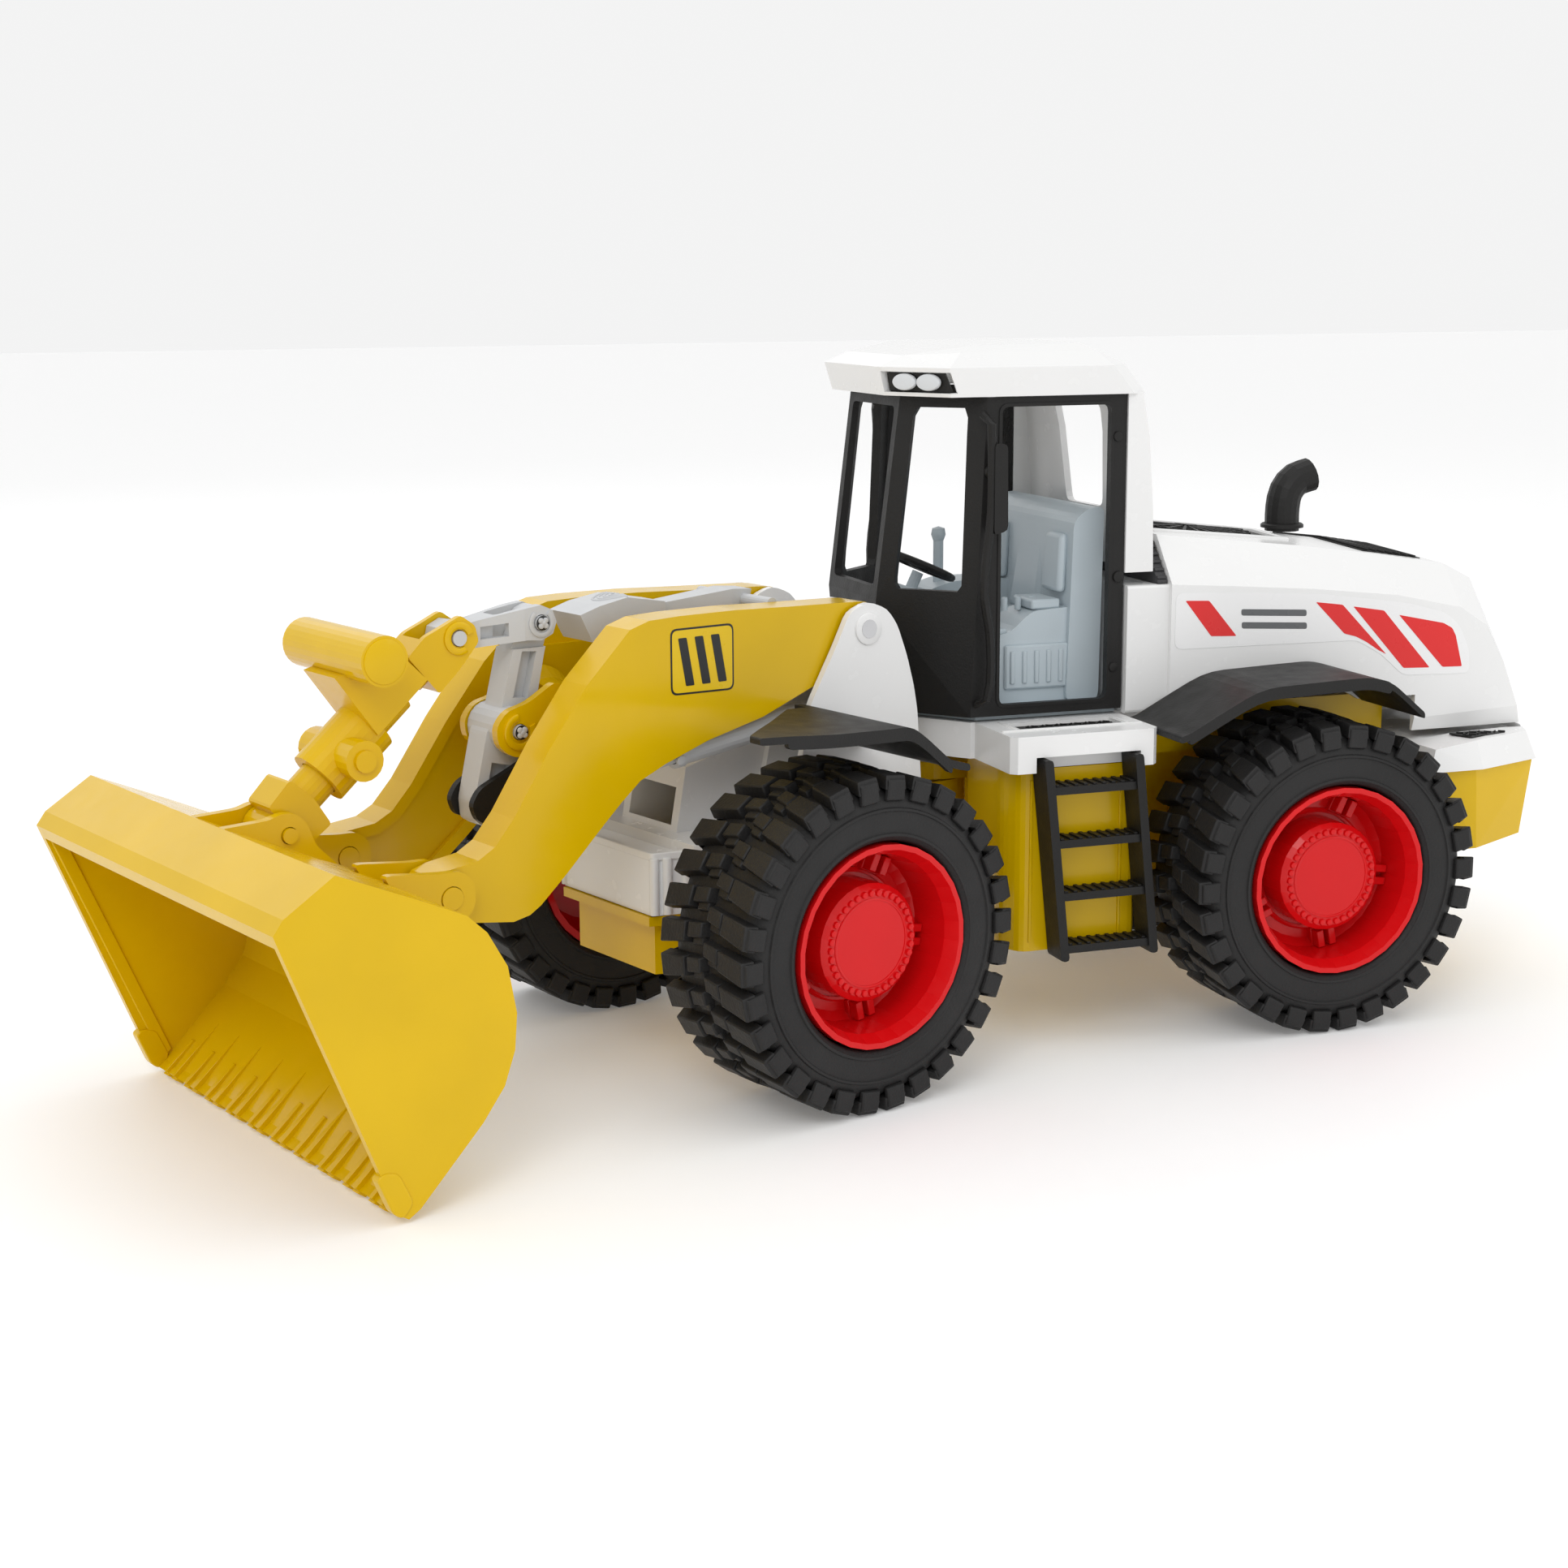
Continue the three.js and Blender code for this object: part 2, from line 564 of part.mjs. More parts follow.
// Roof and rear shell are one white moulding.
const ROOF_BASE = CAB_TOP + GAP;
function roofForm(shrink) {
  return mirrorHull([
    [26 - shrink, 24 - shrink, ROOF_BASE - shrink], [12.5 - shrink, 48 - shrink, ROOF_BASE - shrink],
    [-52 + shrink, 48 - shrink, ROOF_BASE - shrink], [-58 + shrink, 44 - shrink, ROOF_BASE - shrink],
    [28.5 - shrink, 25 - shrink, 219 - shrink], [13.5 - shrink, 49 - shrink, 219 - shrink],
    [-44 + shrink, 49 - shrink, 219 - shrink], [-50 + shrink, 44 - shrink, 219.5 - shrink],
    [20 - shrink, 25 - shrink, 222.5 - shrink], [6 - shrink, 40 - shrink, 223.5 - shrink],
    [0, 34 - shrink, 225.5 - shrink], [-38 + shrink, 34 - shrink, 226 - shrink],
    [-42 + shrink, 40 - shrink, 223.5 - shrink],
  ]);
}
const SHELL_FOOT = 151.3;
const shellLine = [
  [-50.8, SHELL_FOOT], [-50.8, ROOF_BASE + 0.5], [-56, ROOF_BASE + 0.5], [-58.6, 196], [-60.5, 172],
  [-61, SHELL_FOOT],
];
const LIGHT_IN = 3.6;
const lightPocket = hull([
  [30, 26, 211], [12, 54, 211], [30, 26, 217.6], [14, 52, 217.6],
  [25.5 - LIGHT_IN, 25 - LIGHT_IN * 0.5, 211], [12.5 - LIGHT_IN, 45 - LIGHT_IN * 0.5, 211],
  [27 - LIGHT_IN, 26 - LIGHT_IN * 0.5, 217.6], [15 - LIGHT_IN, 44 - LIGHT_IN * 0.5, 217.6],
]);
const roofShell = cut(
  join(roofForm(0), side(shellLine, -CAB_HALF - 0.6, CAB_HALF + 0.6)),
  roofForm(WALL),
  side(shellLine.map(([x, z]) => [x + WALL, z - 0.2]), -CAB_HALF + 2.6, CAB_HALF - 2.6),
  section([[-14, 170], [14, 170], [18, 205], [-18, 205]], -70, -50, 3, 3),
  lightPocket,
  geometryOf(lightPocket).scale(1, -1, 1),
);
put(rearHalf, "cab_shell", roofShell, WHITE);
putPair(rearHalf, "roof_light", common(
  hull([
    [27.4, 27, 211.4], [14, 48, 211.4], [27.6, 27.4, 217.2], [14.6, 47.6, 217.2],
    [25.9 - LIGHT_IN, 25.6 - LIGHT_IN * 0.5, 211.4], [13.3 - LIGHT_IN, 44.8 - LIGHT_IN * 0.5, 211.4],
    [26.6 - LIGHT_IN, 26 - LIGHT_IN * 0.5, 217.2], [15.4 - LIGHT_IN, 43.6 - LIGHT_IN * 0.5, 217.2],
  ]),
  roofForm(1.2),
), BLACK);

// Seat, consoles, dashboard and floor are one moulding.
const cabin = join(
  plan([
    [21, 0], [21, 16], [0.5, 42.3], [-50, 42.3], [-50, -42.3], [0.5, -42.3], [21, -16],
  ], PLATFORM_TOP + GAP, 107.5),
  side([[-48, 107], [-36, 107], [-38, 168], [-44, 172], [-49, 172]], -34, 34, 3),
  plan([[-40, 14], [-12, 14], [-9, 10], [-9, -10], [-12, -14], [-40, -14]], 107, 128, 4),
  side([[-42, 107], [-8, 107], [-8, 130], [-16, 131], [-24, 138], [-42, 139]], 14, 32, 3),
  side([[-42, 107], [-6, 107], [-6, 140], [-16, 143], [-42, 143]], -34, -16, 3),
  side([[6, 107], [18, 107], [22, 141], [8, 145]], -17, 17, 2),
  bar([-14, -25, 140], [-14, -25, 158], 1.8, 10),
  bar([10, 0, 136], [3.9, 0, 148.8], 2, 12),
);
put(rearHalf, "cab_interior", cabin, CABIN);

const WHEEL_HUB = [3, 0, 151];
const steeringWheel = new THREE.TorusGeometry(11.5, 1.3, 8, 28);
const wheelShape = join(
  steeringWheel,
  new THREE.BoxGeometry(21, 2.6, 1.6),
  new THREE.BoxGeometry(2.6, 11, 1.6).translate(0, -5.5, 0),
  new THREE.CylinderGeometry(3.2, 3.2, 3, 14).rotateX(Math.PI / 2),
);
put(rearHalf, "steering_wheel",
  geometryOf(wheelShape)
    .rotateZ(-Math.PI / 2)
    .rotateY(THREE.MathUtils.degToRad(-24))
    .translate(...WHEEL_HUB), BLACK);

const RAIL_R = 1.5;
const handrail = join(
  swept([
    [1, 46.9, 204], [0, 50.4, 203], [-0.6, 50.6, 196], [-0.6, 50.6, 172], [1.4, 50.8, 155], [1.6, 50.8, 146],
    [-0.6, 50.6, 134], [-0.8, 50.4, 116], [1, 49.6, 110], [2, 46.9, 110.6],
  ], RAIL_R, 18, 8),
  side([[-1, 195.5], [-5.4, 195], [-5.8, 167.5], [-1, 166]], 49.2, 52.4, 1.5, 2),
);
putPair(rearHalf, "handrail", common(handrail, box(-40, 40, CAB_HALF + GAP, 60, 90, 230)), BLACK);

// ---- front half: chassis and tower -------------------------------------------------------
const SHELF_Z = 70;
put(frontHalf, "front_chassis", cut(
  join(
    steeringLug(30, ...MIDDLE_LUG),
    plan([[24, 22], [34, 34], [119, 34], [119, -34], [34, -34], [24, -22]], 38, SHELF_Z),
    plan([[118, -26], [118, 26], [129, 22], [129, -22]], 34, 53.6),
    plan([[119, -28], [119, 28], [133, 25], [133, -25]], 50.6, 53.6),
    plan([[60, 26], [119, 26], [119, -26], [60, -26]], 34, 39),
  ),
  pinHole,
  axleHole(FRONT_AXLE_X),
), YELLOW);

const PLATE_IN = [15.6, 18];
const PLATE_OUT = [33.3, 35.7];
const plateLine = [
  [54.8, 146.6], [47.3, 143.8], [43, 138.4], [39, 128.3], [36, 118], [34.4, 109.5], [32, 76], [92, 76],
  [83, 92],
  [78, 116], [68, 133], [62.3, 143.8],
];
const towerPlate = ([y0, y1]) => side(plateLine, y0, y1, 2.4, 2);
const tower = cut(
  join(
    plan([
      [26, 24], [36, 38], [112, 40], [122, 34], [122, -34], [112, -40], [36, -38], [26, -24],
    ], SHELF_Z + GAP, 76.5),
    plan([[119.4, -29], [119.4, 29], [132, 25.5], [132, -25.5]], 53.9, 73),
    side([[34, 76], [116, 76], [112, 97], [84, 104], [70, 120], [46, 120], [37, 110]], -15.6, 15.6),
    mirrored(towerPlate(PLATE_IN)),
    mirrored(towerPlate(PLATE_OUT)),
    side([[40, 76], [76, 76], [70, 80], [46, 80]], -33.2, 33.2),
    mirrored(across(LIFT_PIVOT, PLATE_IN[1] - 0.2, PLATE_OUT[0] + 0.2, PIN_R)),
  ),
  across(BOOM_PIVOT, -50, 50, BOOM_PIN_R + RUNNING),
  side([[60, 60], [118, 60], [114, 90], [84, 97], [60, 97]], -12, 12),
  box(20, 30.4, -13.4, 13.4, 60, 79),
);
put(frontHalf, "front_tower", tower, WHITE);
put(frontHalf, "boom_pin", across(BOOM_PIVOT, -36.6, 36.6, BOOM_PIN_R), STEEL);

// ---- boom --------------------------------------------------------------------------------
// The arms stand further apart at the bucket than at the tower.
const toe = (x) => ARM_TOE * (x - BOOM_PIVOT[0]);
const splay = (shape) => geometryOf(shape).applyMatrix4(
  new THREE.Matrix4().set(1, 0, 0, 0, ARM_TOE, 1, 0, -ARM_TOE * BOOM_PIVOT[0], 0, 0, 1, 0, 0, 0, 0, 1));
const armLine = [
  [53, 146], [57, 146.4], [83.7, 147.2], [105.2, 148], [126.7, 148.1], [138, 147.7], [145.1, 145.6],
  [160.9, 130.7],
  [174.8, 113], [187.5, 94.6], [194.2, 87.1], [199.9, 84], [209.9, 82.7], [215, 81.3], [218.2, 77.4],
  [218, 72.6], [215, 69], [209, 67.2], [200.4, 65.7], [188.5, 63.9], [182.8, 65], [178.9, 67.3],
  [169.2, 75.6],
  [156.4, 87.6], [149.5, 93.8], [142.2, 99.7], [132.8, 103.6], [116.4, 108.9], [94.9, 113.7], [73.4, 121.5],
  [60, 130], [51, 131], [47.4, 135], [47, 141], [49, 144.4],
];
const POCKET_IN = 23;
const POCKET_OUT = 29.4;
const innerEdge = inset(armLine, WALL);
const arm = cut(
  side(armLine, ARM_INNER_Y, ARM_OUTER_Y),
  cut(side(innerEdge, POCKET_IN, POCKET_OUT),
    across(BOOM_PIVOT, 10, 40, 6.6), across(BUCKET_PIVOT, 10, 40, 6.8)),
  cut(side(inset(armLine, WALL + 1.2), ARM_INNER_Y - 1, ARM_INNER_Y + 2),
    across(BOOM_PIVOT, 10, 40, 7.4), across(BUCKET_PIVOT, 10, 40, 7.6), box(120, 166, 10, 40, 98, 134)),
  box(86, 151, LIFT_Y - 4.5, LIFT_Y + 4.2, 92, 114),
  across(BOOM_PIVOT, 0, 60, BOOM_PIN_R + RUNNING),
  across(BUCKET_PIVOT, 0, 60, BUCKET_PIN_R + RUNNING),
);
putPair(frontHalf, "boom_arm", splay(arm), YELLOW);

const between = (gap) => plan([
  [40, ARM_INNER_Y + toe(40) - gap], [230, ARM_INNER_Y + toe(230) - gap],
  [230, -ARM_INNER_Y - toe(230) + gap], [40, -ARM_INNER_Y - toe(40) + gap],
], 0, 300);
const BEAM = [142.5, 114.5];
const BEAM_PROFILE = [
  [0, -24], [14.4, -24], [12.6, -20.5], [10.2, -16], [9, -11], [9, 11], [10.2, 16], [12.6, 20.5],
  [14.4, 24], [0, 24],
];
const beam = new THREE.LatheGeometry(BEAM_PROFILE.map(([r, y]) => new THREE.Vector2(r, y)), 32)
  .translate(BEAM[0], 0, BEAM[1]);
const beamEar = side([
  [145, 121], [156, 128.4], [166, 122.6], [173.6, 120.8], [177.4, 116], [176.4, 110], [171.6, 106.6],
  [158, 105.6],
  [146, 106.4],
], 8.2, 11.2, 2.5, 3);
put(frontHalf, "boom_cross_member", cut(
  common(join(beam, mirrored(beamEar)), between(GAP)),
  across(ROCKER_PIVOT, -30, 30, PIN_R + RUNNING),
), YELLOW);

// Thumb lever, turning on its own cross axle between the arms.
put(frontHalf, "boom_lever", common(
  join(
    mirrorHull([
      [145.6, 9, 147.2], [141, 8.6, 138.4], [124, 8, 136.4], [112, 6.5, 141.5],
      [138.4, 9, 149.4], [128, 8.4, 151.2], [113, 6.8, 148.6],
    ]),
    mirrorHull([
      [114, 4, 141.6], [114, 4, 147.6], [86, 5.4, 144], [86, 5.4, 150.2], [79.5, 4.6, 144.6],
      [78, 4.6, 149.6],
      [83, 5, 142.4],
    ]),
    across(LEVER_PIVOT, -24, 24, 2, 16),
  ),
  between(GAP),
), GREY);

// ---- lift cylinders ----------------------------------------------------------------------
const liftStart = new THREE.Vector3(LIFT_PIVOT[0], LIFT_Y + toe(LIFT_PIVOT[0]), LIFT_PIVOT[1]);
const liftFinish = new THREE.Vector3(LIFT_END[0], LIFT_Y + toe(LIFT_END[0]), LIFT_END[1]);
const onLift = (share) => liftStart.clone().lerp(liftFinish, share).toArray();
putPair(frontHalf, "lift_barrel", cut(
  join(
    bar(onLift(0.03), onLift(0.76), 4.1, 20),
    bar(onLift(0.73), onLift(0.765), 4.5, 20),
    across(LIFT_PIVOT, LIFT_Y - 5, LIFT_Y + 5, 5.4, 18),
  ),
  bar(onLift(0.2), onLift(0.78), 3.1, 16),
  across(LIFT_PIVOT, 10, 40, PIN_R + RUNNING),
), GREY);
putPair(frontHalf, "lift_rod", join(
  bar(onLift(0.24), onLift(1), 2.8, 16),
  across(LIFT_END, liftFinish.y - 2.9, liftFinish.y + 2.9, 3.6, 16),
), GREY);

// ---- rocker and link ---------------------------------------------------------------------
const rockerLine = [
  [153.2, 145.8], [154.4, 149.6], [158.2, 151], [162, 149.6], [163.4, 145.8], [167.2, 138],
  [171.6, 121], [177, 114],
  [181.9, 93], [181.4, 87], [177.6, 84.6], [173.6, 87.4], [167.5, 97.7], [162, 107], [160, 119.5],
  [156.2, 136.7],
];
const rockerPocket = (y0, y1) => join(
  side([[159, 137], [164, 137.4], [167.6, 123.6], [162.6, 123]], y0, y1),
  side([[168.8, 103], [175.6, 104.6], [178.4, 92], [174.4, 91]], y0, y1),
);
put(frontHalf, "rocker", cut(
  join(
    cut(side(rockerLine, -5, 5, 1, 2), rockerPocket(1.6, 6), rockerPocket(-6, -1.6)),
    across(ROCKER_PIVOT, -7.8, 7.8, 7.2, 20),
  ),
  across(ROCKER_PIVOT, -20, 20, PIN_R + RUNNING),
  across(LINK_REAR, -20, 20, PIN_R + RUNNING),
  box(150, 172, 3.5, 6, 138.2, 153),
  box(150, 172, -6, -3.5, 138.2, 153),
), GREY);
put(frontHalf, "rocker_pin", across(ROCKER_PIVOT, -12.4, 12.4, PIN_R, 16), GREY);

// Black latch plates on each side of the rocker's foot, hung from the beam.
const latchPlate = side([
  [184.6, 93], [182.6, 87.6], [177.4, 86.4], [172, 89.4], [152, 104], [150.4, 107.8], [157, 110.5],
  [163, 106],
  [181.6, 97.6],
], 5.4, 8, 2, 3);
put(frontHalf, "rocker_latch", join(
  mirrored(latchPlate),
  side([[154, 104.8], [156.6, 103.2], [158.4, 106.4], [155.4, 107.6]], -5.8, 5.8),
), BLACK);

const linkBar = [
  [181.4, 147.6], [186.7, 148.6], [190.9, 146.6], [191.6, 143.7], [190.6, 140.6], [186.7, 138.9],
  [181.4, 139.8],
  [163, 140.9], [158.2, 140.4], [154.2, 142.2], [152.8, 145.8], [154.2, 149.4], [158.2, 151.2], [163, 150.6],
];
const linkPlan = (y) => [
  [150, 7], [164, 7], [178, 4.7], [193, 4.7], [193, y], [178, y], [171, 3.8], [150, 3.8],
];
put(frontHalf, "link", cut(
  common(
    side(linkBar, -8, 8),
    join(
      mirrored(plan(linkPlan(0.01), 130, 160)),
      mirrored(plan([[172.5, -0.5], [193, -0.5], [193, 4.7], [178, 4.7], [172.5, 5.6]], 130, 160)),
    ),
  ),
  side([[178, 142.2], [178, 146], [169, 146.6], [169, 142.6]], 2.4, 8),
  side([[178, 142.2], [178, 146], [169, 146.6], [169, 142.6]], -8, -2.4),
  across(LINK_REAR, -20, 20, PIN_R + RUNNING),
  across(LINK_FRONT, -20, 20, PIN_R + OPEN_PLAY),
), GREY);
put(frontHalf, "link_pin_rear", across(LINK_REAR, -7.9, 7.9, PIN_R, 16), GREY);
put(frontHalf, "link_pin_front", across(LINK_FRONT, -7.9, 7.9, PIN_R, 16), GREY);

// ---- tilt strut: tube on the bucket, grip sliding on it ----------------------------------
// u runs from the bucket's bracket pin towards the link's front pin, v square to it.
const tiltStart = new THREE.Vector2(...TILT_PIVOT);
const tiltAlong = new THREE.Vector2(...LINK_FRONT).sub(tiltStart);
const TILT_LENGTH = tiltAlong.length();
tiltAlong.normalize();
const onTilt = (u, v) => [
  TILT_PIVOT[0] + tiltAlong.x * u + tiltAlong.y * v,
  TILT_PIVOT[1] + tiltAlong.y * u - tiltAlong.x * v,
];
const tiltSide = (points, y0, y1, r = 0) => side(points.map(([u, v]) => onTilt(u, v)), y0, y1, r, 2);
const tiltBar = (u0, u1, v, r, sides = 20) => {
  const [x0, z0] = onTilt(u0, v);
  const [x1, z1] = onTilt(u1, v);
  return bar([x0, 0, z0], [x1, 0, z1], r, sides);
};
const TUBE_R = 5.9;
const TUBE_END = 54;
put(frontHalf, "tilt_tube", cut(
  join(
    tiltSide([[2, -8.6], [12, -9.5], [13.4, 0], [12, 9.5], [2, 8.6]], -7, 7, 1),
    across(TILT_PIVOT, -7.7, 7.7, 5.8, 20),
    tiltBar(8, TUBE_END, 0, TUBE_R, 24),
  ),
  across(TILT_PIVOT, -20, 20, PIN_R + RUNNING),
), YELLOW);
put(frontHalf, "tilt_pin", across(TILT_PIVOT, -12.2, 12.2, PIN_R, 16), YELLOW);

const sleeveBoss = onTilt(29.7, 0);
const grip = join(
  tiltBar(20, 42, 0, 9, 28),
  mirrored(join(across(sleeveBoss, 6, 15.4, 6, 20), across(sleeveBoss, 15, 16.4, 3.3, 16))),
  hull([[228.9, 136.4], [215.8, 118.3], [199.1, 132.9], [206.3, 140], [212, 141]].flatMap(
    ([x, z]) => [[x, -10, z], [x, 10, z]])),
  across(GRIP_BAR, -25, 25, 7.4, 28),
  tiltBar(60, 66, 0, 5, 16),
  cut(
    tiltSide([
      [62, -7.4], [72, -7], [TILT_LENGTH + 4, -5.6], [TILT_LENGTH + 6.4, -1], [TILT_LENGTH + 5, 4.6],
      [TILT_LENGTH - 2, 6.6], [70, 8.4], [62, 8],
    ], -7.2, 7.2, 1),
    tiltSide([[69, -12], [90, -12], [90, 12], [69, 12]], -5.1, 5.1),
  ),
);
put(frontHalf, "tilt_grip", cut(
  grip,
  tiltBar(10, TUBE_END + 4.5, 0, TUBE_R + GAP, 24),
  across(LINK_FRONT, -20, 20, PIN_R + RUNNING),
), YELLOW);

// ---- bucket ------------------------------------------------------------------------------
const bucketLine = [
  [285, 85], [282, 89], [267, 98.4], [244, 88.4], [229, 81.6], [223, 76], [217, 65.6], [214.5, 52],
  [215.4, 41.7],
  [219, 32], [226, 23], [246, 3], [249.6, 0.9], [252.6, 2.6],
];
const bucketMouth = [
  [283.2, 81], [266.4, 95.2], [245.2, 86], [230.6, 79.2], [225.2, 74.4], [219.5, 64.8], [217.1, 52.2],
  [218, 42.8],
  [221.2, 33.6], [227.8, 25], [249.4, 4.2], [300, -30], [320, 70], [290, 84],
];
const tooth = (y) => side([[245.6, 6.8], [243.8, 4.8], [250.2, 0], [252.6, 1.6]], y - 1.7, y + 1.7);
const teeth = [];
for (let pair = 0; pair < TOOTH_PAIRS; pair++) {
  const middle = (pair - (TOOTH_PAIRS - 1) / 2) * TOOTH_PITCH;
  teeth.push(tooth(middle - 3), tooth(middle + 3));
}
const armEar = ([y0, y1]) => side([
  [203.6, 72], [203.4, 79], [207.6, 83], [214, 83], [233, 85.2], [226, 76], [219.2, 62], [213, 67.4],
  [206.6, 68.4],
], y0, y1, 3, 3);
const centreEar = side([
  [268, 97.6], [252, 98.2], [247.6, 99.6], [243.4, 99.2], [240, 96], [237.4, 89], [229, 80.6], [246, 87],
], ...TILT_EAR, 1.6, 3);
const wellFloor = side([[259, 94.4], [233, 83], [236, 78.8], [260.4, 89.6]], -11, 11);
put(frontHalf, "bucket", cut(
  join(
    cut(
      side(bucketLine, -BUCKET_HALF, BUCKET_HALF),
      side(bucketMouth, -BUCKET_HALF + 2.6, BUCKET_HALF - 2.6),
    ),
    wellFloor,
    mirrored(armEar(OUTER_EAR)),
    mirrored(armEar(INNER_EAR)),
    mirrored(centreEar),
    ...teeth,
  ),
  across(TILT_PIVOT, -TILT_EAR[0], TILT_EAR[0], 6.4, 24),
  across(BUCKET_PIVOT, -60, 60, BUCKET_PIN_R + RUNNING),
  across(TILT_PIVOT, -60, 60, PIN_R + RUNNING),
), YELLOW);
putPair(frontHalf, "bucket_pin", across(BUCKET_PIVOT, 21.2, 42.6, BUCKET_PIN_R, 18), YELLOW);

// ---- whole model centred on its box ------------------------------------------------------
machine.updateMatrixWorld(true);
const bounds = new THREE.Box3().setFromObject(machine, true);
const centre = bounds.getCenter(new THREE.Vector3());
machine.position.set(-centre.x, -centre.y, -bounds.min.z);

const loader = new THREE.Group();
loader.add(machine);
export default loader;
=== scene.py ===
import json
import math

import bmesh
import bpy
from mathutils import Matrix, Vector


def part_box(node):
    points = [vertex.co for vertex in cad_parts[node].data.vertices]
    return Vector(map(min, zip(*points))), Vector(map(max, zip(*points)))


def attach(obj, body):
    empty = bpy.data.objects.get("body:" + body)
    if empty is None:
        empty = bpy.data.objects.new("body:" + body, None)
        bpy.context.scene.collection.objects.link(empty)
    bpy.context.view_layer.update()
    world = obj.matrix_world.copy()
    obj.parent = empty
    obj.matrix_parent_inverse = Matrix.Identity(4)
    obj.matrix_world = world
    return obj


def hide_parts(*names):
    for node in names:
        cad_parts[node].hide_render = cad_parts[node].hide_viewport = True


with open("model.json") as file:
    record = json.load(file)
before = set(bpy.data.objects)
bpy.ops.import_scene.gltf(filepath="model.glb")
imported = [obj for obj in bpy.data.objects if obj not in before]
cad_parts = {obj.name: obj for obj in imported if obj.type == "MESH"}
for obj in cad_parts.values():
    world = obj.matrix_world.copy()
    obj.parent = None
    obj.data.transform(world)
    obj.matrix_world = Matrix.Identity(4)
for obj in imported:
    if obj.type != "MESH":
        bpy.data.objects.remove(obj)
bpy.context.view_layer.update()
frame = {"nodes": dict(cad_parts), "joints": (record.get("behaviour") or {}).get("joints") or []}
nodes = frame["nodes"]
joints = {j["name"]: j for j in frame["joints"]}

pivot = Vector(joints["steer"]["pos_m"])
pivot.z = 0
hinge = joints["boom_lift"]["axis"]
REAR = Matrix.Translation(pivot)
FRONT = REAR @ Matrix.Rotation(math.atan2(-hinge[0], hinge[1]), 4, "Z")
MILLIMETRE = 0.001
PER_METRE = 1000
MM = Matrix.Scale(MILLIMETRE, 4)
SIDES = ((1, "left"), (-1, "right"))


# ---- materials ---------------------------------------------------------------------------
COAT_ROUGHNESS = 0.08
SPECULAR_LEVEL = 0.26
DRIFT_SCALE = 28
POLISH_SCALE = 160
WAVE_SCALE = 45
GRAIN_DEPTH = 0.0003
WAVE_DEPTH = 0.0012
NOISE_LOW, NOISE_HIGH = 0.3, 0.7


def material(name, color, roughness, coat=0.0, metallic=0.0, tint=0.04, grain=0.0, grain_scale=900.0,
             wave=0.0, spread=0.05):
    """Moulded plastic: slight colour drift, uneven polish, and grain or sink marks as bump."""
    made = bpy.data.materials.new(name)
    made.use_nodes = True
    tree = made.node_tree
    shader = tree.nodes["Principled BSDF"]
    shader.inputs["Metallic"].default_value = metallic
    shader.inputs["Coat Weight"].default_value = coat
    shader.inputs["Coat Roughness"].default_value = COAT_ROUGHNESS
    shader.inputs["Specular IOR Level"].default_value = SPECULAR_LEVEL
    where = tree.nodes.new("ShaderNodeTexCoord")

    def noise(scale, detail):
        node = tree.nodes.new("ShaderNodeTexNoise")
        node.inputs["Scale"].default_value = scale
        node.inputs["Detail"].default_value = detail
        tree.links.new(where.outputs["Object"], node.inputs["Vector"])
        return node

    drift = noise(DRIFT_SCALE, 3)
    ramp = tree.nodes.new("ShaderNodeValToRGB")
    ramp.color_ramp.elements[0].position = NOISE_LOW
    ramp.color_ramp.elements[1].position = NOISE_HIGH
    ramp.color_ramp.elements[0].color = [c * (1 - tint) for c in color] + [1]
    ramp.color_ramp.elements[1].color = [min(1, c * (1 + tint)) for c in color] + [1]
    tree.links.new(drift.outputs["Fac"], ramp.inputs["Fac"])
    tree.links.new(ramp.outputs["Color"], shader.inputs["Base Color"])
    polish = noise(POLISH_SCALE, 4)
    span = tree.nodes.new("ShaderNodeMapRange")
    span.inputs["From Min"].default_value = NOISE_LOW
    span.inputs["From Max"].default_value = NOISE_HIGH
    span.inputs["To Min"].default_value = max(0.02, roughness - spread)
    span.inputs["To Max"].default_value = roughness + spread
    tree.links.new(polish.outputs["Fac"], span.inputs["Value"])
    tree.links.new(span.outputs["Result"], shader.inputs["Roughness"])
    previous = None
    for strength, scale, detail, distance in ((grain, grain_scale, 2, GRAIN_DEPTH),
                                              (wave, WAVE_SCALE, 1, WAVE_DEPTH)):
        if strength > 0:
            bump = tree.nodes.new("ShaderNodeBump")
            bump.inputs["Strength"].default_value = strength
            bump.inputs["Distance"].default_value = distance
            tree.links.new(noise(scale, detail).outputs["Fac"], bump.inputs["Height"])
            if previous:
                tree.links.new(previous.outputs["Normal"], bump.inputs["Normal"])
            previous = bump
    if previous:
        tree.links.new(previous.outputs["Normal"], shader.inputs["Normal"])
    return made


YELLOW = material("yellow_plastic", (0.68, 0.43, 0.0), 0.2, coat=0.06, wave=0.04, grain=0.05)
WHITE = material("white_plastic", (0.79, 0.79, 0.785), 0.26, coat=0.1, tint=0.004, wave=0.02, spread=0.02)
GREY = material("light_grey_plastic", (0.53, 0.54, 0.55), 0.36, coat=0.1, tint=0.03, wave=0.06, grain=0.08)
BLACK = material("black_textured_plastic", (0.013, 0.0125, 0.012), 0.48, tint=0.1, grain=0.35,
                 grain_scale=1500)
DARK = material("dark_grey_plastic", (0.05, 0.05, 0.052), 0.45, tint=0.08, grain=0.25, grain_scale=1300)
TYRE = material("tyre_rubber", (0.017, 0.0165, 0.0165), 0.52, tint=0.14, grain=0.45, grain_scale=1100,
                wave=0.1)
RED = material("red_plastic", (0.62, 0.004, 0.006), 0.2, coat=0.06, tint=0.05, wave=0.04, grain=0.04)
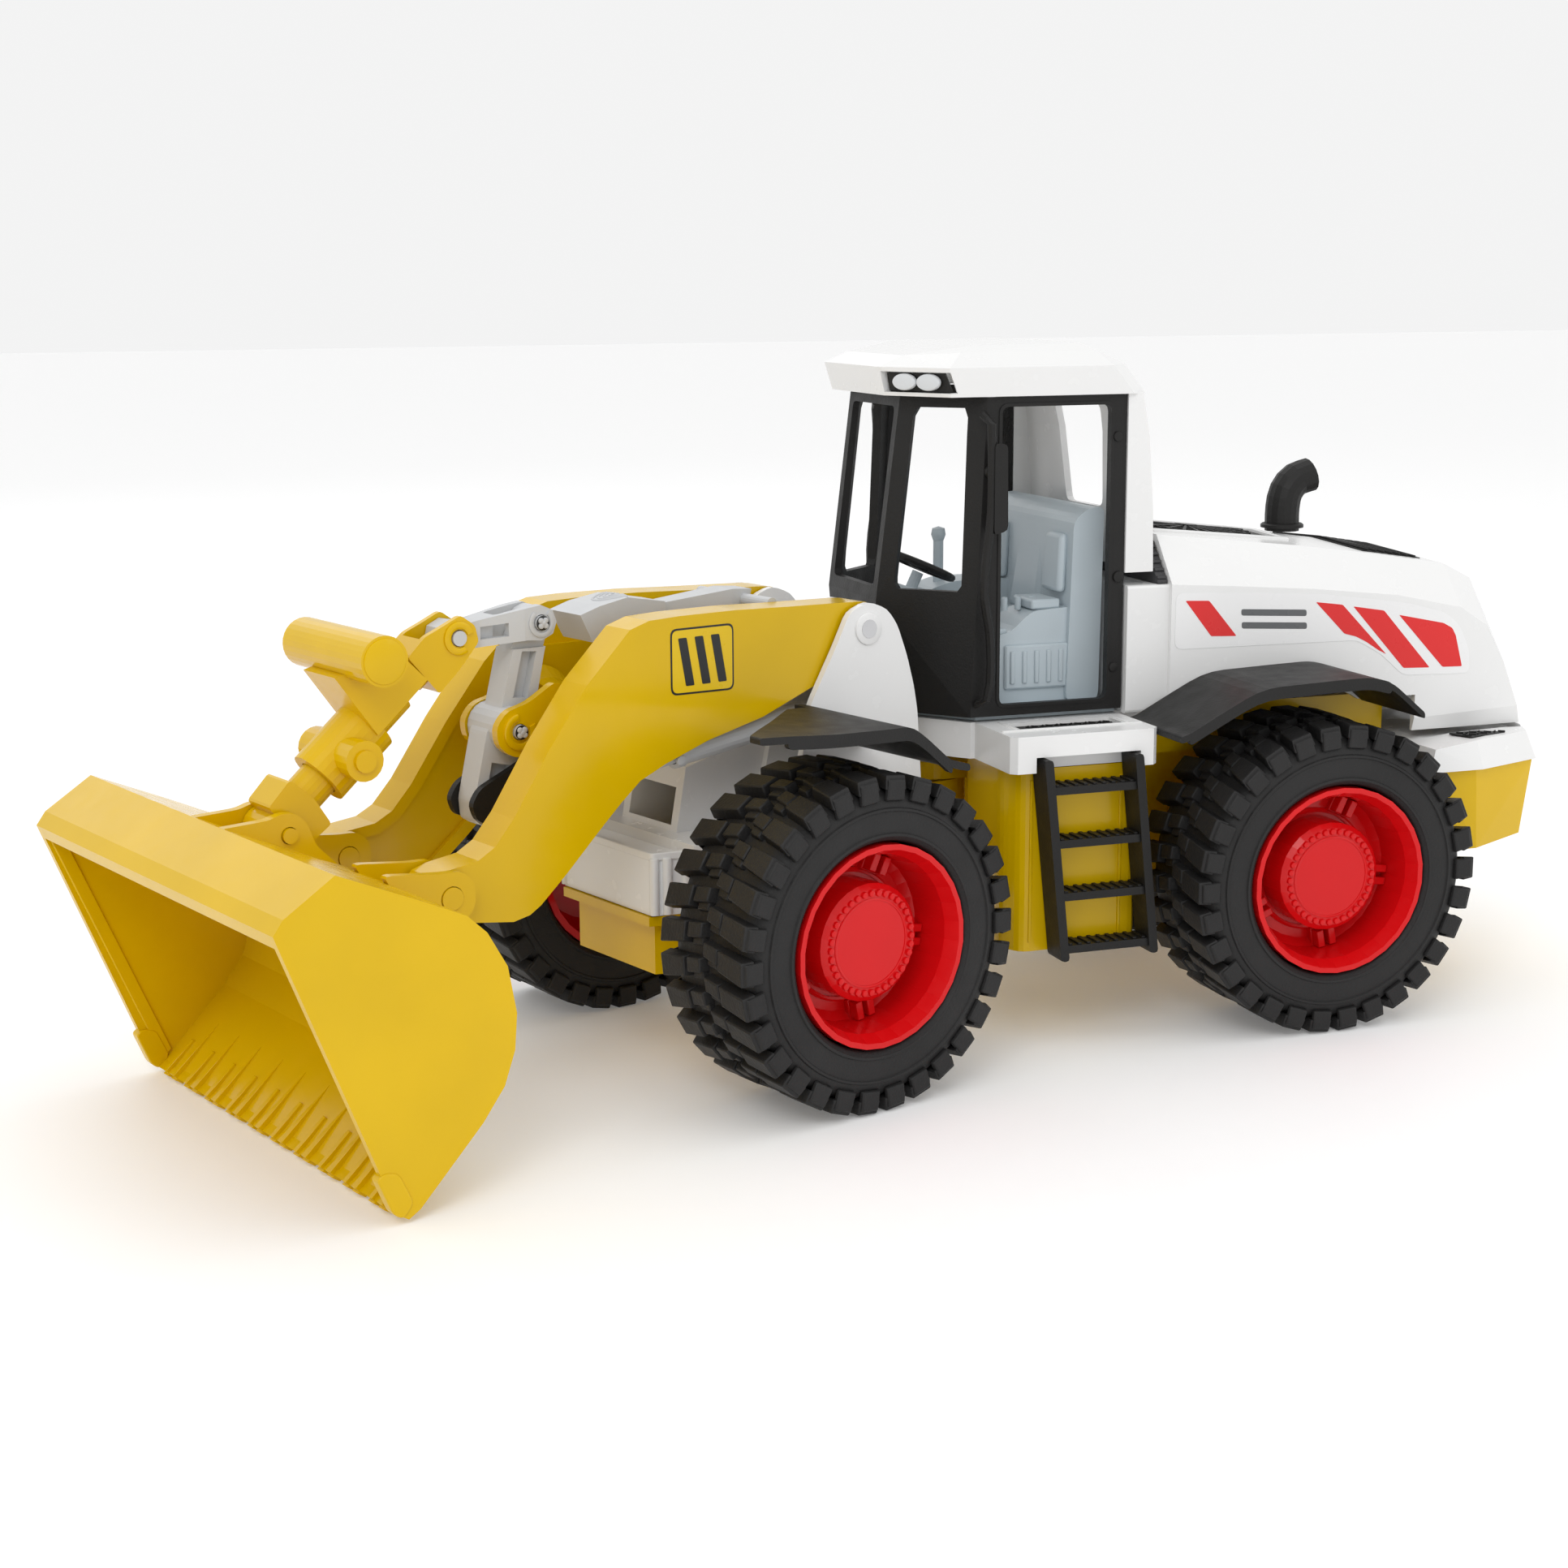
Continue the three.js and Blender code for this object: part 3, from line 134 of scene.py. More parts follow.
CABIN = material("cabin_plastic", (0.50, 0.57, 0.61), 0.38, coat=0.1, tint=0.03, wave=0.05, grain=0.08)
STEEL = material("drawn_steel", (0.55, 0.55, 0.56), 0.3, metallic=1.0, tint=0.06, grain=0.2, grain_scale=700)
LENS = material("lens_plastic", (0.62, 0.64, 0.66), 0.18, coat=0.6, tint=0.03, grain=0.15, grain_scale=420)
FILM_WHITE = material("sticker_white", (0.82, 0.82, 0.82), 0.3, coat=0.2, tint=0.01, grain=0.05)
FILM_RED = material("sticker_red", (0.70, 0.02, 0.02), 0.3, coat=0.2, tint=0.03, grain=0.05)
# Black film: sticker print on the boom, and also painted shade in the pin-end slots.
BLACK_FILM_AND_SHADE = material("sticker_black_and_slot_shade", (0.015, 0.015, 0.015), 0.32, coat=0.2, tint=0.05, grain=0.05)
FILM_GREY = material("sticker_grey", (0.115, 0.12, 0.125), 0.3, coat=0.2, tint=0.03, grain=0.05)
FILM_YELLOW = material("sticker_yellow", (0.74, 0.49, 0.002), 0.3, coat=0.2, tint=0.03, grain=0.05)


# ---- building pieces ---------------------------------------------------------------------
class Shape:
    """Points and faces collected in millimetres."""

    def __init__(self):
        self.points = []
        self.faces = []

    def add(self, points, faces):
        start = len(self.points)
        self.points += [tuple(p) for p in points]
        self.faces += [[i + start for i in f] for f in faces]
        return self

    def prism(self, low, high):
        """Two matching loops joined by side faces and closed at both ends."""
        n = len(low)
        sides = [[i, (i + 1) % n, (i + 1) % n + n, i + n] for i in range(n)]
        return self.add([*low, *high], [list(range(n))[::-1], list(range(n, 2 * n)), *sides])

    def block(self, x, y, z):
        low = [(x[0], y[0], z[0]), (x[1], y[0], z[0]), (x[1], y[1], z[0]), (x[0], y[1], z[0])]
        return self.prism(low, [(a, b, z[1]) for a, b, _ in low])

    def lathe(self, profile, sides, centre=(0, 0, 0), closed=True):
        """A profile of (radius, y) turned about an axis along Y through centre."""
        points = []
        for k in range(sides):
            angle = 2 * math.pi * k / sides
            points += [(centre[0] + r * math.cos(angle), centre[1] + y, centre[2] + r * math.sin(angle))
                       for r, y in profile]
        n = len(profile)
        faces = []
        for k in range(sides):
            a, b = k * n, ((k + 1) % sides) * n
            for i in range(n if closed else n - 1):
                j = (i + 1) % n
                faces.append([a + i, b + i, b + j, a + j])
        return self.add(points, faces)

    def disc(self, centre, axis, radius, height, sides=24, edge=0.3):
        """A round boss with a small rounded edge, standing on centre along axis."""
        up = Vector(axis).normalized()
        across = up.orthogonal().normalized()
        other = up.cross(across)
        rings = [(radius, 0), (radius, height - edge), (radius - 0.3 * edge, height - 0.3 * edge),
                 (radius - edge, height)]
        points = []
        for r, h in rings:
            for k in range(sides):
                a = 2 * math.pi * k / sides
                around = across * (r * math.cos(a))
                points.append(Vector(centre) + up * h + around + other * (r * math.sin(a)))
        faces = [list(range(sides))[::-1], list(range(3 * sides, 4 * sides))]
        for ring in range(3):
            for k in range(sides):
                a, b = ring * sides + k, ring * sides + (k + 1) % sides
                faces.append([a, b, b + sides, a + sides])
        return self.add(points, faces)

    def tube(self, route, radius, sides=12):
        """A round bar along a route of points, closed at both ends."""
        route = [Vector(p) for p in route]
        points = []
        normal = None
        for i, p in enumerate(route):
            along = (route[min(i + 1, len(route) - 1)] - route[max(i - 1, 0)]).normalized()
            if normal is None:
                normal = along.orthogonal().normalized()
            normal = (normal - along * normal.dot(along)).normalized()
            other = along.cross(normal)
            for k in range(sides):
                a = 2 * math.pi * k / sides
                points.append(p + normal * (radius * math.cos(a)) + other * (radius * math.sin(a)))
        faces = [list(range(sides))[::-1], list(range(len(points) - sides, len(points)))]
        for i in range(len(route) - 1):
            for k in range(sides):
                a, b = i * sides + k, i * sides + (k + 1) % sides
                faces.append([a, b, b + sides, a + sides])
        return self.add(points, faces)

    def frame(self, outer, inner, low, high):
        """A closed frame between two matching loops; low and high place a loop's point on each face."""
        n = len(outer)
        points = [place(p) for place in (low, high) for loop in (outer, inner) for p in loop]
        faces = []
        for k in range(n):
            j = (k + 1) % n
            faces += [[2 * n + k, 2 * n + j, 3 * n + j, 3 * n + k], [k, j, 2 * n + j, 2 * n + k],
                      [n + k, n + j, 3 * n + j, 3 * n + k], [k, j, n + j, n + k]]
        return self.add(points, faces)


BEVEL_ANGLE = 35
ROLLED_BEVEL_ANGLE = 52
CREASE_PLAIN = 40
CREASE_BEVELLED = 50
WELD = 1e-7


def finish_mesh(obj, finish, bevel=0.0, angle=BEVEL_ANGLE):
    """One material, smooth shading with creases, and a bevel whose width is in millimetres."""
    obj.data.materials.clear()
    obj.data.materials.append(finish)
    for polygon in obj.data.polygons:
        polygon.use_smooth = True
    if bevel:
        made = obj.modifiers.new("edges", "BEVEL")
        made.width = bevel * MILLIMETRE
        made.segments = 2
        made.limit_method = "ANGLE"
        made.angle_limit = math.radians(angle)
        made.harden_normals = False
        made.use_clamp_overlap = True
    shade(obj, CREASE_BEVELLED if bevel else CREASE_PLAIN)


def shade(obj, angle):
    """Smooth shading across shallow edges and a crease at sharp ones."""
    bm = bmesh.new()
    bm.from_mesh(obj.data)
    limit = math.radians(angle)
    sharp = []
    for edge in bm.edges:
        turn = edge.calc_face_angle(None)
        sharp.append(turn is None or turn > limit)
    bm.free()
    kept = obj.data.attributes
    attribute = kept.get("sharp_edge") or kept.new("sharp_edge", "BOOLEAN", "EDGE")
    attribute.data.foreach_set("value", sharp)


def piece(name, shape, half, finish, body, bevel=0.0):
    """A visual piece made from a shape in the frame of one half, riding on a body."""
    mesh = bpy.data.meshes.new(name)
    mesh.from_pydata(shape.points, [], shape.faces)
    mesh.transform(half @ MM)
    bm = bmesh.new()
    bm.from_mesh(mesh)
    bmesh.ops.remove_doubles(bm, verts=bm.verts, dist=WELD)
    bmesh.ops.recalc_face_normals(bm, faces=bm.faces)
    bm.to_mesh(mesh)
    bm.free()
    obj = bpy.data.objects.new(name, mesh)
    bpy.context.scene.collection.objects.link(obj)
    finish_mesh(obj, finish, bevel)
    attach(obj, body)
    return obj


# ---- CAD nodes: finish and softened edges ------------------------------------------------
FINISHES = [
    (YELLOW, 0.5, ["rear_chassis", "counterweight", "front_chassis", "boom_cross_member", "tilt_tube",
                   "tilt_pin", "tilt_grip", "bucket", "bucket_pin_left", "bucket_pin_right"]),
    (YELLOW, 1.3, ["boom_arm_left", "boom_arm_right"]),
    (WHITE, 1.0, ["counterweight_cover", "cab_deck", "engine_hood", "cab_shell", "front_tower"]),
    (GREY, 0.4, ["boom_lever", "lift_barrel_left", "lift_barrel_right", "lift_rod_left", "lift_rod_right",
                 "rocker", "rocker_pin", "link", "link_pin_rear", "link_pin_front"]),
    (BLACK, 0.4, ["ladder_left", "ladder_right", "hood_grille", "exhaust_pipe", "rear_fender_left",
                  "rear_fender_right", "front_fender_left", "front_fender_right", "cab_frame",
                  "roof_light_left", "roof_light_right", "steering_wheel", "handrail_left",
                  "handrail_right", "rocker_latch"]),
    (DARK, 0.3, ["air_intake"]),
    (CABIN, 0.8, ["cab_interior"]),
    (STEEL, 0.2, ["rear_axle", "front_axle", "steering_pin", "boom_pin"]),
    (RED, 0.35, [f"{part}_{end}_{where}" for part in ("rim", "hub_cap") for end in ("front", "rear")
                 for where in ("left", "right")]),
]
for finish, bevel, names in FINISHES:
    for name in names:
        rolled = name.startswith(("boom_arm", "rear_fender", "front_fender"))
        finish_mesh(nodes[name], finish, bevel, angle=ROLLED_BEVEL_ANGLE if rolled else BEVEL_ANGLE)


# ---- wheels ------------------------------------------------------------------------------
TYRE_R = 52.0
LUGS = 30
WHEEL_Z = 51.9
CAP_BEADS = 15.4
CAP_BEAD_COUNT = 36
RIM_CLAMPS = 5
TREAD_HALF = 21.9
WHEEL_Y = 70.0


def polar(radius, degrees, y):
    a = math.radians(degrees)
    return (radius * math.cos(a), y, radius * math.sin(a))


def tread_block(shape, at, low, high, base, tip, draft=0.9):
    """A tapering block: low and high are (y, first angle, last angle) at its two ends."""
    loop = [(low[0], low[1]), (low[0], low[2]), (high[0], high[2]), (high[0], high[1])]
    y_mid = (low[0] + high[0]) / 2
    a_mid = sum(a for _, a in loop) / 4
    foot = []
    top = []
    for y, a in loop:
        wide_a = a + math.copysign(draft, a - a_mid)
        wide_y = y + math.copysign(0.7, y - y_mid)
        foot.append(polar(base, at + wide_a, max(-TREAD_HALF, min(TREAD_HALF, wide_y))))
        top.append(polar(tip, at + a, y))
    shape.prism(foot, top)


def tyre_shape():
    carcass = Shape()
    side = [(31.9, 19.6), (32.6, 20.9), (33.4, 21.3), (33.7, 21.9), (34.5, 21.9), (34.8, 21.4), (38.5, 21.4),
            (41.0, 21.15), (41.3, 21.6), (42.0, 21.5), (42.3, 20.9), (43.0, 20.8), (45.6, 19.8), (47.4, 17.6),
            (48.0, 14), (48.2, 7)]
    profile = side + [(48.3, 0)] + [(r, -y) for r, y in reversed(side)]
    carcass.lathe(profile, 120)
    blocks = Shape()
    pitch = 360 / LUGS
    for lug in range(LUGS):
        for s, shift in ((1, 0), (-1, pitch / 2)):
            at = lug * pitch + shift
            # shoulder block, with a heel that runs down the sidewall
            tread_block(blocks, at, (s * 8.8, -1.4, 5.4), (s * 20.6, -4.2, 3.8), 47.6, TYRE_R - 0.1, 0.8)
            heel = [polar(44.2, at - 4.9, s * 20.2), polar(44.2, at + 4.5, s * 20.2),
                    polar(51.2, at + 3.7, s * 20.2), polar(51.2, at - 4.1, s * 20.2)]
            face = [polar(44.7, at - 4.4, s * 21.8), polar(44.7, at + 4.0, s * 21.8),
                    polar(50.4, at + 3.2, s * 21.8), polar(50.4, at - 3.6, s * 21.8)]
            blocks.prism(heel, face)
            # centre block in two steps
            tread_block(blocks, at, (s * 1.0, 1.6, 6.4), (s * 7.6, 0.2, 5.4), 47.8, TYRE_R - 0.5, 0.6)
            tread_block(blocks, at, (s * 1.4, -1.4, 1.9), (s * 6.2, -2.2, 0.6), 47.8, TYRE_R - 1.9, 0.5)
    return carcass, blocks


def cap_detail():
    """Ring of beads inside a fine raised rim near the edge of the hub cap."""
    beads = Shape()
    for k in range(CAP_BEAD_COUNT):
        a = 2 * math.pi * k / CAP_BEAD_COUNT
        beads.disc((CAP_BEADS * math.cos(a), 15.3, CAP_BEADS * math.sin(a)), (0, 1, 0), 1.15, 1.1, 12, 0.6)
    ring = Shape()
    ring.lathe([(CAP_BEADS - 2.4, 15.2), (CAP_BEADS - 2.3, 15.75), (CAP_BEADS - 1.9, 15.85),
                (CAP_BEADS - 1.6, 15.7), (CAP_BEADS - 1.5, 15.2)], 84)
    return beads, ring


def rim_detail():
    """Clamp lugs around the dish, each with a slot, and a stepped inner ring."""
    lugs = Shape()
    for k in range(RIM_CLAMPS):
        turn = Matrix.Rotation(2 * math.pi * k / RIM_CLAMPS + 0.5, 4, "Y")
        part = Shape()
        part.block((20.6, 26.4), (1.6, 7.6), (-3.4, -0.9))
        part.block((20.6, 26.4), (1.6, 7.6), (0.9, 3.4))
        part.block((20.2, 26.8), (1.6, 4.0), (-3.9, 3.9))
        lugs.add([turn @ Vector(p) for p in part.points], part.faces)
    ring = Shape()
    ring.lathe([(27.9, 17.2), (28.7, 18.2), (29.4, 18.0), (29.2, 17.0)], 96)
    ring.lathe([(19.4, 1.8), (19.4, 2.9), (20.2, 3.1), (20.9, 2.6), (20.9, 1.8)], 72)
    return lugs, ring


carcass, blocks = tyre_shape()
beads, cap_ring = cap_detail()
clamps, rim_ring = rim_detail()
for end, half in (("front", FRONT), ("rear", REAR)):
    for s, where in SIDES:
        name = f"{end}_{where}"
        body = f"wheel_{end}_{where}"
        low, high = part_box(f"tyre_{name}")
        hub = half.inverted() @ ((low + high) / 2) * PER_METRE
        hub = Vector((hub.x, s * WHEEL_Y, WHEEL_Z))
        place = half @ Matrix.Translation(hub * MILLIMETRE) @ Matrix.Diagonal((1, s, 1, 1))
        tyre = piece(f"tyre_body_{name}", carcass, place, TYRE, body)
        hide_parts(f"tyre_{name}")
        piece(f"tyre_lugs_{name}", blocks, place, TYRE, body, bevel=0.45)
        piece(f"cap_beads_{name}", beads, place, RED, body)
        piece(f"cap_rings_{name}", cap_ring, place, RED, body)
        piece(f"rim_clamps_{name}", clamps, place, RED, body, bevel=0.3)
        piece(f"rim_ring_{name}", rim_ring, place, RED, body)


# ---- trim on the engine hood and rear end ------------------------------------------------
HOOD_RIDGE = [(-66.5, 162.5), (-89, 160), (-121, 156.6), (-153, 152.3), (-179, 148), (-190, 142.5)]


def hood_top(x, y):
    """Height of the hood's crowned top between its two ridges."""
    for (x0, z0), (x1, z1) in zip(HOOD_RIDGE, HOOD_RIDGE[1:]):
        if x1 <= x <= x0:
            share = (x0 - x) / (x0 - x1)
            return z0 + share * (z1 - z0) + 1.8 * (1 - min(1, abs(y) / 38))
    return HOOD_RIDGE[0][1]


def one_side(outline, s):
    """The part of a plan outline on one side of the centre line."""
    kept = []
    for (x0, y0), (x1, y1) in zip(outline, outline[1:] + outline[:1]):
        if s * y0 >= 0:
            kept.append((x0, y0))
        if y0 * y1 < 0:
            kept.append((x0 + (x1 - x0) * y0 / (y0 - y1), 0.0))
    return kept


def on_hood(shape, outline, low, high):
    """A plate with that plan outline, following the hood's top from low to high above it."""
    for s in (1, -1):
        part = one_side(outline, s)
        if len(part) > 2 and max(abs(y) for _, y in part) > 0.01:
            shape.prism([(x, y, hood_top(x, y) + low) for x, y in part],
                        [(x, y, hood_top(x, y) + high) for x, y in part])


def side_film(name, outline, finish, half, body, y, lift, toe=0.0, toe_from=0.0):
    """A thin film on an outer side face, with its twin on the other side."""
    for s, where in SIDES:
        shape = Shape()
        at = [s * (y + toe * (x - toe_from)) for x, _ in outline]
        shape.prism([(x, a, z) for (x, z), a in zip(outline, at)],
                    [(x, a + s * lift, z) for (x, z), a in zip(outline, at)])
        piece(f"{name}_{where}", shape, half, finish, body)


def rounded(points, radius, steps=5):
    """The same outline with its corners rounded."""
    made = []
    for i, p in enumerate(points):
        here = Vector((p[0], p[1]))
        before = Vector(points[i - 1]) - here
        after = Vector(points[(i + 1) % len(points)]) - here
        reach = min(radius, before.length * 0.45, after.length * 0.45)
        a = here + before.normalized() * reach
        b = here + after.normalized() * reach
        for k in range(steps + 1):
            t = k / steps
            q = a * (1 - t) ** 2 + here * (2 * t * (1 - t)) + b * t ** 2
            made.append((q.x, q.y))
    return made


HOOD_SIDE = 50.05
PANEL_FILM = 0.08
STRIPE_FILM = 0.07
BAR_FILM = 0.06
HOOD_PANEL = [
    (-68, 144.2), (-100.5, 142.6), (-122.5, 141.4), (-156.3, 136.8), (-172.5, 132.6), (-178.5, 128),
    (-182.9, 119.3), (-183.5, 110.7), (-156.6, 111.5), (-147.5, 119.4), (-137.8, 124.7), (-68, 125.2),
]
side_film("hood_film", rounded(HOOD_PANEL, 3), FILM_WHITE, REAR, "rear_frame", HOOD_SIDE, PANEL_FILM)
STRIPES = [
    [(-71.5, 141.4), (-80.4, 141.0), (-91.1, 128.6), (-81.5, 129.0)],
    [(-121.1, 138.6), (-131.6, 137.2), (-149.6, 119.2), (-146.4, 120.8), (-141.3, 124.0), (-137.2, 126.0),
     (-132.7, 127.2)],
    [(-135.8, 136.4), (-148.0, 134.4), (-167.2, 113.6), (-156.7, 114.0)],
    [(-154.0, 132.6), (-172.0, 128.9), (-175.6, 127.0), (-177.2, 124.3), (-180.3, 113.3), (-172.4, 113.5)],
]
for k, stripe in enumerate(STRIPES):
    side_film(f"hood_stripe_{k + 1}", rounded(stripe, 0.5, 2), FILM_RED, REAR, "rear_frame",
              HOOD_SIDE + PANEL_FILM, STRIPE_FILM)
HOOD_BARS = [
    [(-92.6, 137.6), (-117.6, 136.2), (-117.7, 134.0), (-92.7, 135.4)],
    [(-92.9, 133.2), (-117.9, 131.8), (-118.0, 129.6), (-93.0, 131.0)],
]
for k, bar in enumerate(HOOD_BARS):
    side_film(f"hood_bar_{k + 1}", rounded(bar, 0.7, 2), FILM_GREY, REAR, "rear_frame",
              HOOD_SIDE + PANEL_FILM, BAR_FILM)

# Fan guard: rings and spokes over the intake on the hood's top.
GRILLE_X = -98
RING_SIDES = 48
SPOKES = 24
grille = Shape()
for radius in (6, 11.5, 17, 20.5):
    for k in range(RING_SIDES):
        a0, a1 = 2 * math.pi * k / RING_SIDES, 2 * math.pi * (k + 1) / RING_SIDES
        loop = [(GRILLE_X + r * math.cos(a), r * math.sin(a))
                for r, a in ((radius - 0.5, a0), (radius + 0.5, a0), (radius + 0.5, a1), (radius - 0.5, a1))]
        on_hood(grille, loop, -0.6, 0.15)
for k in range(SPOKES):
    turn = 2 * math.pi * k / SPOKES
    u, v = Vector((math.cos(turn), math.sin(turn))), Vector((-math.sin(turn), math.cos(turn)))
    loop = [u * r + v * w for r, w in ((3, -0.35), (22.5, -0.6), (22.5, 0.6), (3, 0.35))]
    on_hood(grille, [(GRILLE_X + p.x, p.y) for p in loop], -0.6, 0.35)
hub_ring = [(GRILLE_X + 4 * math.cos(math.pi * k / 10), 4 * math.sin(math.pi * k / 10)) for k in range(20)]
on_hood(grille, hub_ring, -0.6, 0.6)
piece("hood_fan_guard", grille, REAR, BLACK, "rear_frame")
frame_rim = Shape()
for side in (1, -1):
    rail = [(-70, side * 26.3), (-70, side * 28.8), (-125.4, side * 22.6), (-125.4, side * 20.4)]
    on_hood(frame_rim, rail, -0.5, 0.9)
on_hood(frame_rim, [(-124.1, 22.6), (-124.1, -22.6), (-126.4, -22.6), (-126.4, 22.6)], -0.5, 0.9)
piece("hood_grille_frame", frame_rim, REAR, WHITE, "rear_frame", bevel=0.5)
vent = Shape()
on_hood(vent, [(-149, 34), (-149, -34), (-152.9, -34), (-152.9, 34)], 0.02, 0.3)
on_hood(vent, [(-153, 34), (-153, -34), (-174, -31), (-174, 31)], 0.02, 0.3)
for k in range(7):
    x = -151.5 - k * 3.2
    on_hood(vent, [(x, 32), (x, -32), (x - 1.1, -31.6), (x - 1.1, 31.6)], 0.2, 0.9)
piece("hood_rear_vent", vent, REAR, BLACK, "rear_frame")
tail = Shape()
for k in range(6):
    z = 125.5 - 2.9 * k
    x = -197.5 - (128 - z) * 6.5 / 20.5
    tail.prism([(x + 0.6, -30, z), (x - 0.6, -30, z - 0.2), (x - 0.6, 30, z - 0.2), (x + 0.6, 30, z)],
               [(x + 0.1, -29.6, z - 1.5), (x - 0.9, -29.6, z - 1.3), (x - 0.9, 29.6, z - 1.3),
                (x + 0.1, 29.6, z - 1.5)])
piece("hood_tail_slats", tail, REAR, WHITE, "rear_frame")
intake = Shape()
for s in (1, -1):
    for k in range(5):
        z = 148.8 + 2.4 * k
        inner, low_edge, high_edge = s * (40 - k), s * (47.2 - 2.1 * k), s * (46.9 - 2.1 * k)
        intake.prism([(-62.6, low_edge, z), (-66.0, low_edge, z), (-66.0, inner, z), (-62.6, inner, z)],
                     [(-62.6, high_edge, z + 0.9), (-66.0, high_edge, z + 0.9), (-66.0, inner, z + 0.9),
                      (-62.6, inner, z + 0.9)])
piece("intake_slats", intake, REAR, DARK, "rear_frame", bevel=0.15)

pipe = Shape()
pipe.lathe([(6.2, -0.4), (7.6, -0.4), (7.6, 0.6), (7.0, 1.1), (6.2, 1.1)], 40)
turned = Matrix.Rotation(math.radians(90), 4, "X")
collar = Shape()
collar.add([Vector((-136.5, 0, 159.2)) + (turned @ Vector(p)) for p in pipe.points], pipe.faces)
piece("exhaust_collar", collar, REAR, BLACK, "rear_frame")


BAR_PITCH = 2.6


def tread_plate(name, corners, z, half, body):
    """An anti-slip plate: a base with rows of short raised bars set alternately."""
    for s, where in SIDES:
        shape = Shape()
        loop = rounded([(x, y) for x, y in corners], 0.8, 3)
        shape.prism([(x, s * y, z) for x, y in loop], [(x, s * y, z + 0.5) for x, y in loop])
        xs = [x for x, _ in corners]
        low_x, high_x = min(xs), max(xs)
        count = int((high_x - low_x - 2) / BAR_PITCH)
        for k in range(count):
            x = low_x + 1.6 + k * BAR_PITCH
            ys = []
            for (x0, y0), (x1, y1) in zip(corners, corners[1:] + corners[:1]):
                if (x0 - x) * (x1 - x) < 0:
                    ys.append(y0 + (y1 - y0) * (x - x0) / (x1 - x0))
            if len(ys) < 2:
                continue
            lo, hi = min(ys) + 1.0, max(ys) - 1.0
            rows = max(1, int((hi - lo) / 2.4))
            for r in range(rows):
                y = lo + (hi - lo) * (r + 0.5) / rows
                lean = 0.7 if (k + r) % 2 else -0.7
                bar = [(x - 0.8, y - lean - 0.3), (x + 0.8, y + lean - 0.3), (x + 0.8, y + lean + 0.3),
                       (x - 0.8, y - lean + 0.3)]
                shape.prism([(a, s * b, z + 0.45) for a, b in bar], [(a, s * b, z + 0.95) for a, b in bar])
        piece(f"{name}_{where}", shape, half, BLACK, body)


PLATFORM_TREAD = [(-7.6, 50.6), (-7.6, 61.4), (-43.4, 61.4), (-43.4, 50.6)]
BUMPER_TREAD = [(-174, 53.2), (-186, 52.6), (-194.5, 57.6), (-177, 62.6)]
tread_plate("platform_tread", PLATFORM_TREAD, 102.45, REAR, "rear_frame")
tread_plate("bumper_tread", BUMPER_TREAD, 90.05, REAR, "rear_frame")

# Raised lips along the platform's outer edge and its two ends.
for s, where in SIDES:
    lip = Shape()
    for x0, x1, y0, y1 in ((-49.5, 0.4, 62.6, 64.2), (-6.6, -5.0, 47.6, 63.6), (-46.2, -44.6, 47.6, 63.6)):
        lip.block((x0, x1), sorted((s * y0, s * y1)), (103.6, 104.5))
    piece(f"platform_lip_{where}", lip, REAR, WHITE, "rear_frame", bevel=0.35)

# Grating teeth on the ladder's rungs.
RUNGS = 4
TOP_RUNG_Z = 86.0
RUNG_STEP = 17.6
for s, where in SIDES:
    teeth = Shape()
    for rung in range(RUNGS):
        z = TOP_RUNG_Z - rung * RUNG_STEP
        shift = -7 * (96.5 - z) / 67
        front = -9.5 + shift
        for k in range(9):
            x = front - 3.4 - k * 3.3
            teeth.block((x - 0.7, x + 0.7), sorted((s * 67.6, s * 75.4)), (z + 1.2, z + 1.9))
    piece(f"ladder_grip_{where}", teeth, REAR, BLACK, "rear_frame", bevel=0.2)

# ---- cab trim ----------------------------------------------------------------------------
LENS_SIDES = 28
for s, where in SIDES:
    a, b = Vector((27.2, 27.0, 0)), Vector((14.0, 48.0, 0))
    along = (b - a).normalized()
    out = Vector((-along.y, along.x, 0)) * -1
    for k, share in enumerate((0.30, 0.68)):
        centre = a.lerp(b, share) + Vector((0, 0, 214.4)) - out * 1.5
        lens = Shape()
        for radius, lift in ((1.0, 0.0), (1.0, 1.0), (0.93, 1.5), (0.7, 1.75)):
            for q in range(LENS_SIDES):
                t = 2 * math.pi * q / LENS_SIDES
                flat = along * (4.6 * radius * math.cos(t)) + Vector((0, 0, 2.7 * radius * math.sin(t)))
                p = centre + flat + out * (lift * 0.75)
                lens.points.append((p.x, s * p.y, p.z))
        lens.faces = [list(range(LENS_SIDES))[::-1], list(range(3 * LENS_SIDES, 4 * LENS_SIDES))]
        for ring in range(3):
            for q in range(LENS_SIDES):
                a0, a1 = ring * LENS_SIDES + q, ring * LENS_SIDES + (q + 1) % LENS_SIDES
                lens.faces.append([a0, a1, a1 + LENS_SIDES, a0 + LENS_SIDES])
        piece(f"roof_lens_{where}_{k + 1}", lens, REAR, LENS, "rear_frame")

seat = Shape()
seat.block((-39, -12), (-12.5, 12.5), (127.4, 134.5))
piece("seat_cushion", seat, REAR, CABIN, "rear_frame", bevel=2.6)
seat = Shape()
seat.prism([(-40.5, -12, 134), (-34.5, -12, 134), (-34.5, 12, 134), (-40.5, 12, 134)],
           [(-43.5, -10, 163), (-38.5, -10, 163), (-38.5, 10, 163), (-43.5, 10, 163)])
piece("seat_back", seat, REAR, CABIN, "rear_frame", bevel=2.4)
seat = Shape()
seat.prism([(-44, -7.5, 163.6), (-39.5, -7.5, 163.6), (-39.5, 7.5, 163.6), (-44, 7.5, 163.6)],
           [(-45.4, -6.5, 171), (-41.4, -6.5, 171), (-41.4, 6.5, 171), (-45.4, 6.5, 171)])
piece("seat_headrest", seat, REAR, CABIN, "rear_frame", bevel=1.8)
pads = Shape()
